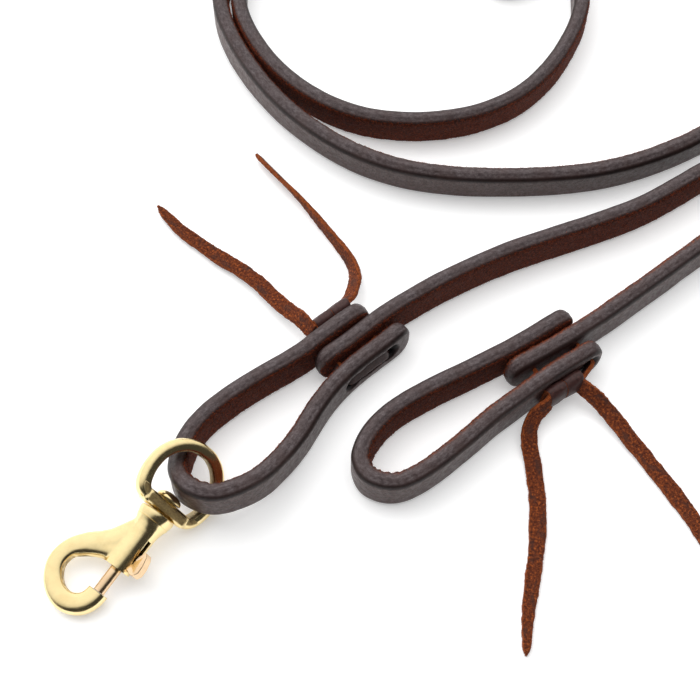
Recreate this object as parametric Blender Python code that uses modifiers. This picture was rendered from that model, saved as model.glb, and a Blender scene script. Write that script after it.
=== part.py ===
"""Training leash: a laced leather strap lying on its edge, with a brass swivel bolt snap.

A long strap runs from the snap tie to the free tie. At each end it is held between the two ends of a
short loop strap, and a thin lace through two holes is knotted to hold the three layers together. The
snap's eye hangs in one loop. The other loop is empty.

Lengths in the route lists are millimetres on the table, +X right, +Y away, +Z up.
"""

import math

import bmesh
import bpy
from mathutils import Matrix, Vector

MM = 0.001

# Leather
STRAP_WIDTH = 12.7
STRAP_THICKNESS = 5.5
STRAP_EDGE_RADIUS = 1.3
LACE_WIDTH = 5.0
LACE_THICKNESS = 1.8
LACE_EDGE_RADIUS = 0.4
HOLE_RADIUS = 2.6
HOLE_HEIGHT = 7.0
STITCH_WIDTH = 4.1
STITCH_THICKNESS = 1.7
STITCH_TURN_RADIUS = 1.3
HOLE_CUTTER_LENGTH = 30.0

# Clearance kept between pieces that touch
GAP = 0.3

# The routes are laid out round the snap tie, and the whole leash is then centred on the origin.
LAYOUT_CENTRE = Vector((62.7, 56.1, 0.0))

# Strap routes: x, y, lift of the lower edge, and lean of the top edge to the right of travel in degrees
SNAP_END_LINE = [
    (-9.4, -10.2, 0, 0), (-5.7, -7.3, 0, 0), (0.0, -2.7, 0, 0), (5.6, 2.3, 0, 0), (10.4, 6.4, 0, 0),
    (16.5, 10.9, 0, 0), (28.8, 18.9, 0, 0), (47.3, 28.6, 0, 0), (79.1, 41.2, 0, 0), (92.4, 47.2, 0, 0),
    (106.2, 55.8, 0, 0), (113.3, 60.5, 0, 0),
]
INNER_LINK = [
    (128.0, 68.8, 0, 0), (144.0, 75.5, 0, 0), (159.5, 83.0, 0, 0), (173.0, 92.5, 0, 0), (182.0, 105.0, 0, 0),
    (185.5, 120.0, 0, 0), (184.0, 136.0, 0, 0), (179.0, 150.0, 0, 0), (170.0, 160.5, 0, 0),
    (158.0, 165.5, 0, 0), (146.0, 161.5, 0, 0), (138.0, 151.0, 0, 0), (135.5, 137.0, 0, 0),
    (135.5, 122.0, 0, 0), (134.5, 108.0, 0, 0), (131.5, 95.5, 0, 0), (125.5, 84.5, 0, -3),
]
OUTER_RING = [
    (114.0, 75.2, 0, -6), (97.0, 66.6, 0, -8), (80.5, 61.3, 0, -9), (66.5, 59.2, 0, -9), (48.0, 58.4, 0, -9),
    (32.0, 59.2, 0, -9), (16.0, 62.3, 0, -9), (0.5, 69.2, 0, -8), (-14.5, 80.6, 0, -7), (-25.0, 92.0, 0, -5),
    (-33.0, 103.6, 0, -2), (-39.6, 116.0, 0, 0), (-44.0, 128.6, 0, 0), (-45.6, 143.0, 0, 0),
    (-43.8, 158.0, 0, 0), (-38.0, 172.0, 0, 0), (-29.0, 184.0, 0, 0), (-17.0, 193.0, 0, 0),
    (-3.0, 198.0, 0, 0), (12.0, 199.5, 0, 0), (27.0, 197.5, 0, 0), (41.0, 191.5, 0, 0),
    (53.0, 182.0, 0, 0), (61.5, 170.0, 0, 0),
]
FOLD = [(64.6, 157.5, 0, 0), (60.5, 148.5, 0, 0), (51.5, 148.8, 0, 0), (48.6, 157.5, 0, 0)]
INNER_RING = [
    (47.5, 169.0, 0, 0), (40.5, 180.0, 0, 0), (31.0, 187.6, 0, 0), (20.0, 191.6, 0, 0), (8.0, 192.7, 0, 0),
    (-4.0, 190.9, 0, 0), (-15.0, 186.2, 0, 0), (-25.0, 178.6, 0, 0), (-32.8, 168.2, 0, 0),
    (-37.6, 156.0, 0, 0), (-39.2, 143.0, 0, 0), (-37.9, 130.0, 0, 0), (-33.6, 118.5, 0, 2),
    (-26.6, 106.8, 0, 5), (-17.6, 96.7, 0, 7), (-7.0, 88.7, 0, 8), (4.5, 83.6, 0, 9), (17.0, 81.5, 0, 9),
    (29.5, 81.9, 0, 8), (43.0, 85.2, 0, 8), (56.0, 92.4, 0, 6), (67.0, 103.9, 0, 4), (75.5, 118.5, 0, 2),
    (80.2, 131.5, 0, 0),
]
OUTER_LINK = [
    (81.6, 146.0, 0, 0), (82.6, 160.0, 0, 0), (85.5, 173.5, 0, 0), (91.5, 186.0, 0, 0), (101.5, 196.0, 0, 0),
    (115.0, 202.3, 0, 0), (130.5, 204.6, 0, 0), (147.0, 203.6, 0, 0), (163.0, 199.2, 0, 0),
    (178.0, 191.0, 0, 0), (190.0, 179.0, 0, 0), (199.0, 164.0, 0, 0), (204.5, 147.0, 0, 0),
    (206.0, 129.0, 0, 0), (203.5, 111.0, 0, 0), (197.0, 95.0, 0, 0), (187.0, 81.8, 0, 0),
    (173.5, 71.2, 0, 0), (158.0, 62.6, 0, 0), (141.5, 54.2, 0, 0), (125.5, 44.4, 0, 0),
]
FREE_END_LINE = [
    (109.7, 32.5, 0, 0), (96.1, 21.9, 0, 0), (82.8, 11.6, 0, 0), (75.0, 5.7, 0, 0), (65.2, -1.1, 0, 0),
    (59.0, -5.1, 0, 0), (52.9, -8.8, 0, 0), (46.0, -12.8, 0, 0),
]
MAIN_ROUTE = (
    SNAP_END_LINE + INNER_LINK + OUTER_RING + FOLD + INNER_RING + OUTER_LINK + FREE_END_LINE
)

SNAP_LOOP_ROUTE = [
    (4.8, 9.5, 0, 0), (1.7, 7.0, 0, 0), (-4.1, 2.3, 0, 0), (-9.8, -2.6, 0, 0), (-13.5, -6.0, 0, 0),
    (-18.9, -9.9, 0, 0), (-24.6, -13.6, 0, 0), (-30.1, -17.5, 0, 0), (-35.7, -21.8, 0, 0),
    (-40.9, -26.7, 0, 0), (-45.2, -32.6, 0, 0), (-47.5, -38.8, 0, 0), (-47.9, -44.6, 1.2, 0),
    (-45.2, -50.5, 4.4, 0), (-40.6, -53.6, 5.7, 0), (-36.4, -54.2, 6.0, 0), (-30.6, -52.2, 5.4, 0),
    (-24.6, -47.8, 3.6, 0), (-19.4, -41.4, 1.6, 0), (-15.0, -34.6, 0.2, 0), (-9.4, -24.4, 0, 0),
    (-5.4, -18.4, 0, 0), (0.2, -12.0, 0, 0), (7.0, -5.8, 0, 0), (10.3, -3.0, 0, 0), (13.4, -0.1, 0, 0),
    (16.5, 3.3, 0, 0),
]
FREE_LOOP_ROUTE = [
    (66.0, 7.3, 0, 0), (62.3, 4.5, 0, 0), (58.0, 1.6, 0, 0), (51.7, -2.6, 0, 0), (45.5, -6.4, 0, 0),
    (39.4, -9.8, 0, 0), (33.4, -13.1, 0, 0), (27.5, -16.2, 0, 0), (21.6, -19.5, 0, 0), (15.9, -23.1, 0, 0),
    (10.6, -27.3, 0, 0), (6.6, -32.0, 0, 0), (4.0, -36.6, 0, 0), (3.0, -41.2, 0, 0), (4.9, -45.8, 0, 0),
    (8.9, -48.0, 0, 0), (13.3, -48.2, 0, 0), (18.1, -46.3, 0, 0), (23.3, -42.8, 0, 0), (29.0, -38.2, 0, 0),
    (34.8, -33.1, 0, 0), (40.7, -27.6, 0, 0), (47.2, -22.5, 0, 0), (54.4, -16.9, 0, 0), (60.4, -12.6, 0, 0),
    (68.2, -7.4, 0, 0), (73.8, -3.6, 0, 0),
]

# Ties: hole centres in the long strap, and the direction through the layers towards the loop's last end
SNAP_TIE_HOLES = ((5.6, 2.3), (-5.7, -7.3))
SNAP_TIE_THROUGH = Vector((0.64, -0.77, 0.0)).normalized()
FREE_TIE_HOLES = ((65.2, -1.1), (52.9, -8.8))
FREE_TIE_THROUGH = Vector((0.57, -0.82, 0.0)).normalized()

# Knots: centre, half length along the strap, half depth off the leather, half height
SNAP_KNOT = {"centre": (-8.3, 7.4, 6.6), "half": (5.6, 2.3, 3.7)}
FREE_KNOT = {"centre": (62.6, -18.3, 6.2), "half": (5.4, 2.6, 3.7)}
KNOT_WAIST = 0.88

# Lace tails: x, y, height of the middle, turn of the flat lace about its own run in degrees, width factor
SNAP_TAIL_LEFT = [
    (-15.2, 5.4, 6.6, 50, 1.0), (-17.8, 9.2, 5.4, 70, 1.0), (-21.7, 14.4, 4.0, 84, 1.0),
    (-27.7, 21.6, 3.0, 88, 1.0), (-34.2, 27.6, 2.4, 90, 1.0), (-40.8, 32.3, 2.0, 90, 0.98),
    (-47.4, 37.6, 1.8, 90, 0.92), (-54.0, 43.2, 1.8, 90, 0.8), (-59.0, 48.7, 2.0, 90, 0.6),
    (-61.8, 52.2, 2.2, 90, 0.4),
]
SNAP_TAIL_RIGHT = [
    (-1.6, 12.6, 6.6, 40, 1.0), (0.2, 16.2, 5.6, 50, 1.0), (1.2, 20.6, 4.6, 50, 1.0),
    (1.4, 25.0, 3.6, 35, 1.0), (0.0, 30.6, 3.0, 18, 1.0), (-3.4, 36.4, 2.8, 10, 0.98),
    (-9.8, 45.8, 2.8, 4, 0.95), (-16.2, 54.8, 2.8, -8, 0.9), (-22.6, 62.8, 2.6, -20, 0.8),
    (-27.8, 69.2, 2.4, -28, 0.6), (-30.9, 73.2, 2.2, -32, 0.4),
]
FREE_TAIL_LEFT = [
    (57.2, -22.2, 6.6, 20, 1.0), (54.8, -24.2, 6.0, 35, 1.0), (52.6, -27.0, 4.8, 58, 1.0),
    (51.8, -31.0, 3.0, 76, 1.0), (52.2, -36.0, 1.6, 88, 1.0), (52.8, -42.0, 1.1, 90, 1.0),
    (53.0, -51.0, 1.0, 90, 1.0), (52.0, -63.0, 1.0, 90, 0.97), (49.8, -74.6, 1.0, 90, 0.88),
    (47.9, -85.6, 1.0, 90, 0.66), (46.9, -94.6, 1.0, 90, 0.4),
]
FREE_TAIL_RIGHT = [
    (69.4, -17.2, 6.2, -40, 1.0), (72.2, -19.6, 5.2, -58, 1.0), (76.2, -24.0, 3.4, -76, 1.0),
    (81.6, -31.4, 1.8, -88, 1.0), (87.0, -39.6, 1.2, -90, 1.0), (92.4, -48.4, 1.0, -90, 1.0),
    (97.4, -57.6, 1.0, -90, 0.98), (101.8, -67.4, 1.0, -90, 0.92), (105.0, -77.4, 1.0, -90, 0.8),
    (107.2, -86.6, 1.0, -90, 0.6), (108.4, -93.6, 1.0, -90, 0.4),
]

# The snap's own frame: +X from the barrel's nose to the eye, +Y to the hook's side, +Z out of its plane
SNAP_NOSE = (-63.5, -71.6, 5.25)
SNAP_HEADING = 54.0
SNAP_PITCH = 9.6
EYE_ROLL = 44.0

BARREL_LENGTH = 15.9
BARREL_NOSE_RADIUS = 3.6
BARREL_REAR_RADIUS = 4.0
BORE_RADIUS = 2.05
BOLT_RADIUS = 1.7
BOLT_TIP = -7.5
BOLT_TAIL = 3.5
BOLT_TRAVEL = 7.4
SLOT_START = 0.9
SLOT_HALF_WIDTH = 1.0
LUG_STEM = (1.3, 3.0)
LUG_HALF_WIDTH = 0.65
LUG_TURN = -22.0
HOOK_ROUTE = [
    (9.6, 0.9, 2.6), (6.6, 3.4, 3.0), (3.9, 7.0, 3.1), (1.0, 11.0, 2.8), (-3.0, 14.3, 2.5),
    (-7.6, 15.1, 2.45), (-11.6, 13.2, 2.5), (-14.3, 9.6, 2.6), (-14.9, 5.4, 2.75), (-13.2, 1.9, 2.8),
    (-10.6, 0.3, 2.7), (-8.1, 0.0, 2.3),
]
COLLAR = (16.2, 19.2)
COLLAR_RADIUS = 5.4
SPIGOT_START = 14.4
SPIGOT_RADIUS = 1.7
POST_RADIUS = 2.2
HEAD_START = 22.8
HEAD_RADIUS = 4.0
HEAD_HEIGHT = 2.6
PLATE = (19.5, 22.5)
PLATE_HALF_LENGTH = 7.4
PLATE_HALF_WIDTH = 3.3
PLATE_HOLE_RADIUS = 2.5
EYE_WIRE_RADIUS = 2.0
EYE_ROUTE = [
    (21.0, 5.6), (21.1, 7.6), (22.4, 9.1), (25.2, 10.2), (28.4, 10.55), (32.0, 10.1), (35.4, 8.4),
    (38.0, 5.6), (39.4, 2.2), (39.5, 0.0),
]
SPRING_WIRE_RADIUS = 0.25
SPRING_RADIUS = 1.45
SPRING_TURNS = 7
SPRING_SPAN = (4.0, 14.1)

CUTTER_OVERRUN = 1.0
ROUND_STEPS = 24

# Where a route keeps a point: after this much turning, or this far from the last
STRAP_TURN = math.radians(13.0)
STRAP_STEP = 26.0
TAIL_TURN = math.radians(9.0)
TAIL_STEP = 9.0
HOOK_TURN = math.radians(12.0)
HOOK_STEP = 3.5


def clear_scene():
    for obj in list(bpy.data.objects):
        bpy.data.objects.remove(obj, do_unlink=True)
    for curve in list(bpy.data.curves):
        bpy.data.curves.remove(curve)
    for mesh in list(bpy.data.meshes):
        bpy.data.meshes.remove(mesh)


def new_collection(name):
    collection = bpy.data.collections.new(name)
    bpy.context.scene.collection.children.link(collection)
    return collection


def principled(name, colour, roughness, metallic=0.0):
    material = bpy.data.materials.new(name)
    material.use_nodes = True
    shader = material.node_tree.nodes["Principled BSDF"]
    shader.inputs["Base Color"].default_value = (*colour, 1.0)
    shader.inputs["Roughness"].default_value = roughness
    shader.inputs["Metallic"].default_value = metallic
    return material


def make_materials():
    return {
        "strap": principled("harness_leather", (0.075, 0.045, 0.038), 0.5),
        "loop": principled("loop_leather", (0.07, 0.042, 0.036), 0.5),
        "lace": principled("latigo_lace", (0.17, 0.065, 0.03), 0.75),
        "brass": principled("cast_brass", (0.85, 0.66, 0.33), 0.22, 1.0),
        "bolt": principled("bolt_brass", (0.80, 0.55, 0.33), 0.25, 1.0),
        "spring": principled("spring_steel", (0.6, 0.6, 0.62), 0.3, 1.0),
    }


class Shop:
    """The collections, materials and cutters that the sub-parts share."""

    def __init__(self):
        self.leash = new_collection("training_leash")
        self.cutters = new_collection("cutters")
        self.materials = make_materials()

    def keep(self, obj, material, parent=None):
        for collection in list(obj.users_collection):
            collection.objects.unlink(obj)
        self.leash.objects.link(obj)
        obj.data.materials.clear()
        obj.data.materials.append(self.materials[material])
        obj.parent = parent
        return obj

    def cutter(self, obj, parent=None):
        for collection in list(obj.users_collection):
            collection.objects.unlink(obj)
        self.cutters.objects.link(obj)
        obj.parent = parent
        obj.hide_render = True
        obj.display_type = "WIRE"
        return obj


def on_table(x, y, z=0.0):
    """A point of the layout, in the part's own frame and in metres."""
    return (Vector((x, y, z)) - LAYOUT_CENTRE) * MM


def blend(a, b, start, end, t):
    return a * ((end - t) / (end - start)) + b * ((t - start) / (end - start))


def spline_through(points, steps=12):
    """Centripetal Catmull-Rom curve through the points, of any number of values each."""
    size = len(points[0])
    ends = [
        tuple(2 * points[0][i] - points[1][i] for i in range(size)),
        tuple(2 * points[-1][i] - points[-2][i] for i in range(size)),
    ]
    line = [ends[0], *points, ends[1]]
    fine = []
    for k in range(1, len(line) - 2):
        four = [Vector(p) for p in line[k - 1 : k + 3]]
        knots = [0.0]
        for a, b in zip(four, four[1:]):
            knots.append(knots[-1] + max((b - a).length, 1e-6) ** 0.5)
        for step in range(steps):
            t = knots[1] + (knots[2] - knots[1]) * step / steps
            first = [blend(four[i], four[i + 1], knots[i], knots[i + 1], t) for i in range(3)]
            second = [blend(first[i], first[i + 1], knots[i], knots[i + 2], t) for i in range(2)]
            fine.append(blend(second[0], second[1], knots[1], knots[2], t))
    fine.append(Vector(points[-1]))
    return fine


def thinned(points, turn, longest):
    """Keeps the points of a fine line where it has turned enough, or run far enough, since the last."""
    kept = [points[0]]
    run = 0.0
    turned = 0.0
    for before, here, after in zip(points, points[1:], points[2:]):
        step_in = Vector((here - before)[:3])
        step_out = Vector((after - here)[:3])
        run += step_in.length
        turned += step_in.angle(step_out, 0.0)
        if turned >= turn or run >= longest:
            kept.append(here)
            run = 0.0
            turned = 0.0
    kept.append(points[-1])
    return kept


def flat_profile(name, width, thickness, radius):
    """A closed outline for sweeping: the thickness along X and the width along Y, with round corners."""
    curve = bpy.data.curves.new(name, "CURVE")
    curve.dimensions = "2D"
    spline = curve.splines.new("POLY")
    corners = []
    for quarter in range(4):
        centre_x = (thickness / 2 - radius) * (1 if quarter in (0, 3) else -1)
        centre_y = (width / 2 - radius) * (1 if quarter in (0, 1) else -1)
        for step in (0.0, 0.5, 1.0):
            angle = (quarter + step) * math.pi / 2
            corners.append((centre_x + radius * math.cos(angle), centre_y + radius * math.sin(angle)))
    spline.points.add(len(corners) - 1)
    for point, (x, y) in zip(spline.points, corners):
        point.co = (x * MM, y * MM, 0.0, 1.0)
    spline.use_cyclic_u = True
    outline = bpy.data.objects.new(name, curve)
    return outline


def swept(name, points, outline):
    """A curve object along points of (x, y, z, turn in degrees, width factor), in the part's frame."""
    curve = bpy.data.curves.new(name, "CURVE")
    curve.dimensions = "3D"
    curve.twist_mode = "Z_UP"
    curve.bevel_mode = "OBJECT"
    curve.bevel_object = outline
    curve.use_fill_caps = True
    spline = curve.splines.new("POLY")
    spline.points.add(len(points) - 1)
    for point, (x, y, z, turn, factor) in zip(spline.points, points):
        point.co = (*on_table(x, y, z), 1.0)
        point.tilt = math.radians(turn)
        point.radius = factor
    return bpy.data.objects.new(name, curve)


def as_mesh(obj):
    """The swept curve as a mesh object of the same name, with its caps welded on."""
    graph = bpy.context.evaluated_depsgraph_get()
    mesh = bpy.data.meshes.new_from_object(obj.evaluated_get(graph))
    shape = bmesh.new()
    shape.from_mesh(mesh)
    bmesh.ops.remove_doubles(shape, verts=shape.verts, dist=0.00001)
    bmesh.ops.recalc_face_normals(shape, faces=shape.faces)
    shape.to_mesh(mesh)
    shape.free()
    name = obj.name
    place = obj.matrix_world.copy()
    bpy.data.objects.remove(obj, do_unlink=True)
    solid = bpy.data.objects.new(name, mesh)
    solid.matrix_world = place
    return solid


def subtract(obj, cutter, operation="DIFFERENCE"):
    boolean = obj.modifiers.new(cutter.name, "BOOLEAN")
    boolean.operation = operation
    boolean.object = cutter
    boolean.solver = "EXACT"


def middle_height(lift, lean, width=STRAP_WIDTH, thickness=STRAP_THICKNESS, radius=STRAP_EDGE_RADIUS):
    """Height of a strap's middle when its lower edge is lifted and its top leans over."""
    angle = abs(math.radians(lean))
    half_height = (width / 2 - radius) * math.cos(angle) + (thickness / 2 - radius) * math.sin(angle)
    return lift + half_height + radius


def strap(shop, name, route, material, outline):
    line = thinned(spline_through(route), STRAP_TURN, STRAP_STEP)
    points = [(x, y, middle_height(lift, lean), lean, 1.0) for x, y, lift, lean in line]
    return shop.keep(local_mesh(swept(name, points, outline)), material)


def across_layers(holes, through, index, distance):
    """A point on a lace hole's axis, at a distance through the layers from the long strap's middle."""
    x, y = holes[index]
    return Vector((x, y, HOLE_HEIGHT)) + through * distance


def lace_hole_cutter(shop, name, holes, through, index):
    bpy.ops.mesh.primitive_cylinder_add(vertices=16, radius=HOLE_RADIUS * MM, depth=HOLE_CUTTER_LENGTH * MM)
    hole = bpy.context.object
    hole.name = name
    hole.location = on_table(*across_layers(holes, through, index, 0.0))
    hole.rotation_euler = through.to_track_quat("Z", "Y").to_euler()
    return shop.cutter(hole)


def rounded_run(corners, radius, steps=4):
    """The polyline through the corners with each inner corner turned on an arc of the radius."""
    points = [Vector(corners[0])]
    for before, corner, after in zip(corners, corners[1:], corners[2:]):
        corner = Vector(corner)
        back = (Vector(before) - corner).normalized()
        ahead = (Vector(after) - corner).normalized()
        half = back.angle(ahead) / 2
        reach = radius / math.tan(half)
        centre = corner + (back + ahead).normalized() * (radius / math.sin(half))
        start = corner + back * reach - centre
        end = corner + ahead * reach - centre
        sweep = start.angle(end)
        for step in range(steps + 1):
            share = step / steps
            arc = (start * math.sin((1 - share) * sweep) + end * math.sin(share * sweep)) / math.sin(sweep)
            points.append(centre + arc)
    points.append(Vector(corners[-1]))
    return points


def stitch(shop, name, corners, outline):
    """The lace's run through both holes and across the face between them."""
    points = [(*point, 0.0, 1.0) for point in rounded_run(corners, STITCH_TURN_RADIUS)]
    return shop.keep(local_mesh(swept(name, points, outline)), "lace")


def knot(shop, name, centre, half, along):
    """The lace's two drawn-up wraps, as one turned solid with a waist between them."""
    half_length, half_depth, half_height = half
    profile = []
    for band in (0, 1):
        for step in range(5):
            share = step / 4
            x = half_length * (band - 1 + share)
            swell = math.sin(math.pi * share) ** 0.5
            profile.append((x, KNOT_WAIST + (1 - KNOT_WAIST) * swell))
    outline = [(-half_length, 0.0)] + [p for i, p in enumerate(profile) if i != 5] + [(half_length, 0.0)]
    turned = lathe(name, outline, steps=20)
    turned.scale = (1.0, half_depth, half_height)
    turned.location = on_table(*centre)
    turned.rotation_euler = (0.0, 0.0, math.atan2(along.y, along.x))
    bpy.context.scene.collection.objects.link(turned)
    return shop.keep(turned, "lace")


def lathe(name, outline, steps=ROUND_STEPS):
    """A solid turned about +X from (x, radius) points given in the order of x, in millimetres."""
    mesh = bpy.data.meshes.new(name)
    edges = [(i, i + 1) for i in range(len(outline) - 1)]
    mesh.from_pydata([(x * MM, 0.0, r * MM) for x, r in reversed(outline)], edges, [])
    turned = bpy.data.objects.new(name, mesh)
    screw = turned.modifiers.new("turn", "SCREW")
    screw.axis = "X"
    screw.steps = steps
    screw.render_steps = steps
    screw.use_merge_vertices = True
    screw.merge_threshold = 0.00001
    return turned


def plain_cylinder(name, start, end, radius):
    """A round cutter along +X."""
    turned = lathe(name, [(start, 0.0), (start, radius), (end, radius), (end, 0.0)])
    bpy.context.scene.collection.objects.link(turned)
    return turned


def tail(shop, name, route, outline):
    line = thinned(spline_through(route), TAIL_TURN, TAIL_STEP)
    return shop.keep(local_mesh(swept(name, line, outline)), "lace")


def leather(shop):
    strap_outline = shop.cutter(
        flat_profile("strap_outline", STRAP_WIDTH, STRAP_THICKNESS, STRAP_EDGE_RADIUS)
    )
    main = strap(shop, "main_strap", MAIN_ROUTE, "strap", strap_outline)
    snap_loop = strap(shop, "snap_loop_strap", SNAP_LOOP_ROUTE, "loop", strap_outline)
    free_loop = strap(shop, "free_loop_strap", FREE_LOOP_ROUTE, "loop", strap_outline)
    ties = (
        ("snap", SNAP_TIE_HOLES, SNAP_TIE_THROUGH, snap_loop),
        ("free", FREE_TIE_HOLES, FREE_TIE_THROUGH, free_loop),
    )
    for end, holes, through, loop in ties:
        for index in (0, 1):
            hole = lace_hole_cutter(shop, f"{end}_lace_hole_{index + 1}", holes, through, index)
            subtract(main, hole)
            subtract(loop, hole)


def laces(shop):
    stitch_outline = shop.cutter(
        flat_profile("stitch_outline", STITCH_WIDTH, STITCH_THICKNESS, LACE_EDGE_RADIUS)
    )
    lace_outline = shop.cutter(
        flat_profile("lace_outline", LACE_WIDTH, LACE_THICKNESS, LACE_EDGE_RADIUS)
    )
    snap_corners = [
        across_layers(SNAP_TIE_HOLES, SNAP_TIE_THROUGH, 0, -7.6),
        across_layers(SNAP_TIE_HOLES, SNAP_TIE_THROUGH, 0, 11.0),
        across_layers(SNAP_TIE_HOLES, SNAP_TIE_THROUGH, 1, 11.4),
        across_layers(SNAP_TIE_HOLES, SNAP_TIE_THROUGH, 1, -7.6),
    ]
    stitch(shop, "snap_lace_stitch", snap_corners, stitch_outline)
    free_corners = [
        across_layers(FREE_TIE_HOLES, FREE_TIE_THROUGH, 0, 8.6),
        across_layers(FREE_TIE_HOLES, FREE_TIE_THROUGH, 0, -10.2),
        across_layers(FREE_TIE_HOLES, FREE_TIE_THROUGH, 1, -10.2),
        across_layers(FREE_TIE_HOLES, FREE_TIE_THROUGH, 1, 8.4),
    ]
    stitch(shop, "free_lace_stitch", free_corners, stitch_outline)
    along_snap = Vector((-SNAP_TIE_THROUGH.y, SNAP_TIE_THROUGH.x, 0.0))
    along_free = Vector((-FREE_TIE_THROUGH.y, FREE_TIE_THROUGH.x, 0.0))
    knot(shop, "snap_lace_knot", SNAP_KNOT["centre"], SNAP_KNOT["half"], along_snap)
    knot(shop, "free_lace_knot", FREE_KNOT["centre"], FREE_KNOT["half"], along_free)
    tail(shop, "snap_lace_tail_left", SNAP_TAIL_LEFT, lace_outline)
    tail(shop, "snap_lace_tail_right", SNAP_TAIL_RIGHT, lace_outline)
    tail(shop, "free_lace_tail_left", FREE_TAIL_LEFT, lace_outline)
    tail(shop, "free_lace_tail_right", FREE_TAIL_RIGHT, lace_outline)


def frame_empty(shop, name, place, roll):
    """An empty on the swivel's axis: +X runs from the barrel's nose to the eye."""
    empty = bpy.data.objects.new(name, None)
    shop.leash.objects.link(empty)
    turn = (
        Matrix.Rotation(math.radians(SNAP_HEADING), 4, "Z")
        @ Matrix.Rotation(math.radians(-SNAP_PITCH), 4, "Y")
        @ Matrix.Rotation(math.radians(roll), 4, "X")
    )
    empty.matrix_world = Matrix.Translation(on_table(*place)) @ turn
    return empty


def tube(name, route):
    """A round tube along (x, y, radius) points in the plane of the snap's frame."""
    curve = bpy.data.curves.new(name, "CURVE")
    curve.dimensions = "3D"
    curve.bevel_depth = MM
    curve.bevel_resolution = 3
    curve.use_fill_caps = True
    curve.twist_mode = "Z_UP"
    spline = curve.splines.new("POLY")
    spline.points.add(len(route) - 1)
    for point, (x, y, radius) in zip(spline.points, route):
        point.co = (x * MM, y * MM, 0.0, 1.0)
        point.radius = radius
    return bpy.data.objects.new(name, curve)


def local_mesh(obj):
    """A tube as a mesh object, before it is parented."""
    bpy.context.scene.collection.objects.link(obj)
    bpy.context.view_layer.update()
    solid = as_mesh(obj)
    bpy.context.scene.collection.objects.link(solid)
    return solid


def box(name, low, high):
    bpy.ops.mesh.primitive_cube_add(size=1.0)
    cube = bpy.context.object
    cube.name = name
    for corner in cube.data.vertices:
        corner.co = [(low[i] if corner.co[i] < 0 else high[i]) * MM for i in range(3)]
    return cube


def snap_body(shop, axis):
    outline = [
        (0.0, 0.0),
        (0.0, BARREL_NOSE_RADIUS - 0.8),
        (0.2, BARREL_NOSE_RADIUS - 0.3),
        (0.7, BARREL_NOSE_RADIUS),
        (BARREL_LENGTH - 0.5, BARREL_REAR_RADIUS),
        (BARREL_LENGTH, BARREL_REAR_RADIUS - 0.5),
        (BARREL_LENGTH, 0.0),
    ]
    barrel = lathe("snap_body", outline)
    bpy.context.scene.collection.objects.link(barrel)
    shop.keep(barrel, "brass", axis)
    line = thinned(spline_through(HOOK_ROUTE, 8), HOOK_TURN, HOOK_STEP)
    hook = shop.cutter(local_mesh(tube("hook_bar", line)), axis)
    subtract(barrel, hook, "UNION")
    bore = plain_cylinder("barrel_bore", -CUTTER_OVERRUN, BARREL_LENGTH + CUTTER_OVERRUN, BORE_RADIUS)
    subtract(barrel, shop.cutter(bore, axis))
    slot = box(
        "thumb_slot",
        (SLOT_START, -8.0, -SLOT_HALF_WIDTH),
        (LUG_STEM[1] + BOLT_TRAVEL + GAP, -1.0, SLOT_HALF_WIDTH),
    )
    slot.rotation_euler = (math.radians(LUG_TURN), 0.0, 0.0)
    subtract(barrel, shop.cutter(slot, axis))


def snap_bolt(shop, axis):
    rod = lathe(
        "snap_bolt",
        [
            (BOLT_TIP, 0.0),
            (BOLT_TIP, BOLT_RADIUS - 0.4),
            (BOLT_TIP + 0.4, BOLT_RADIUS),
            (BOLT_TAIL, BOLT_RADIUS),
            (BOLT_TAIL, 0.0),
        ],
        steps=16,
    )
    bpy.context.scene.collection.objects.link(rod)
    shop.keep(rod, "bolt", axis)


def thumb_lug(shop, axis):
    """A fin on a stem that stands through the slot. Its outline is in the snap's plane."""
    outline = [
        (LUG_STEM[0], -2.0), (LUG_STEM[1], -2.0), (LUG_STEM[1], -3.9), (4.4, -4.6), (6.2, -5.6),
        (7.2, -6.4), (7.0, -7.4), (5.6, -8.3), (3.4, -8.8), (1.6, -8.4), (0.6, -7.2), (0.4, -5.4),
        (LUG_STEM[0], -4.0),
    ]
    curve = bpy.data.curves.new("thumb_lug", "CURVE")
    curve.dimensions = "2D"
    curve.fill_mode = "BOTH"
    curve.extrude = LUG_HALF_WIDTH * MM
    spline = curve.splines.new("POLY")
    spline.points.add(len(outline) - 1)
    for point, (x, y) in zip(spline.points, outline):
        point.co = (x * MM, y * MM, 0.0, 1.0)
    spline.use_cyclic_u = True
    lug = bpy.data.objects.new("thumb_lug", curve)
    solid = local_mesh(lug)
    solid.rotation_euler = (math.radians(LUG_TURN), 0.0, 0.0)
    shop.keep(solid, "bolt", axis)


def swivel_post(shop, axis):
    """Spigot in the barrel, collar, neck through the eye's plate, and the peened head."""
    dome = []
    for step in range(1, 5):
        angle = step * math.pi / 8
        dome.append((HEAD_START + 0.6 + (HEAD_HEIGHT - 0.6) * math.sin(angle), HEAD_RADIUS * math.cos(angle)))
    dome[-1] = (HEAD_START + HEAD_HEIGHT, 0.0)
    outline = [
        (SPIGOT_START, 0.0),
        (SPIGOT_START, SPIGOT_RADIUS),
        (COLLAR[0], SPIGOT_RADIUS),
        (COLLAR[0], COLLAR_RADIUS - 0.7),
        (COLLAR[0] + 0.7, COLLAR_RADIUS),
        (COLLAR[1] - 0.7, COLLAR_RADIUS),
        (COLLAR[1], COLLAR_RADIUS - 0.7),
        (COLLAR[1], POST_RADIUS),
        (HEAD_START, POST_RADIUS),
        (HEAD_START, HEAD_RADIUS - 0.3),
        (HEAD_START + 0.6, HEAD_RADIUS),
        *dome,
    ]
    post = lathe("swivel_post", outline, steps=20)
    bpy.context.scene.collection.objects.link(post)
    shop.keep(post, "brass", axis)


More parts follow.
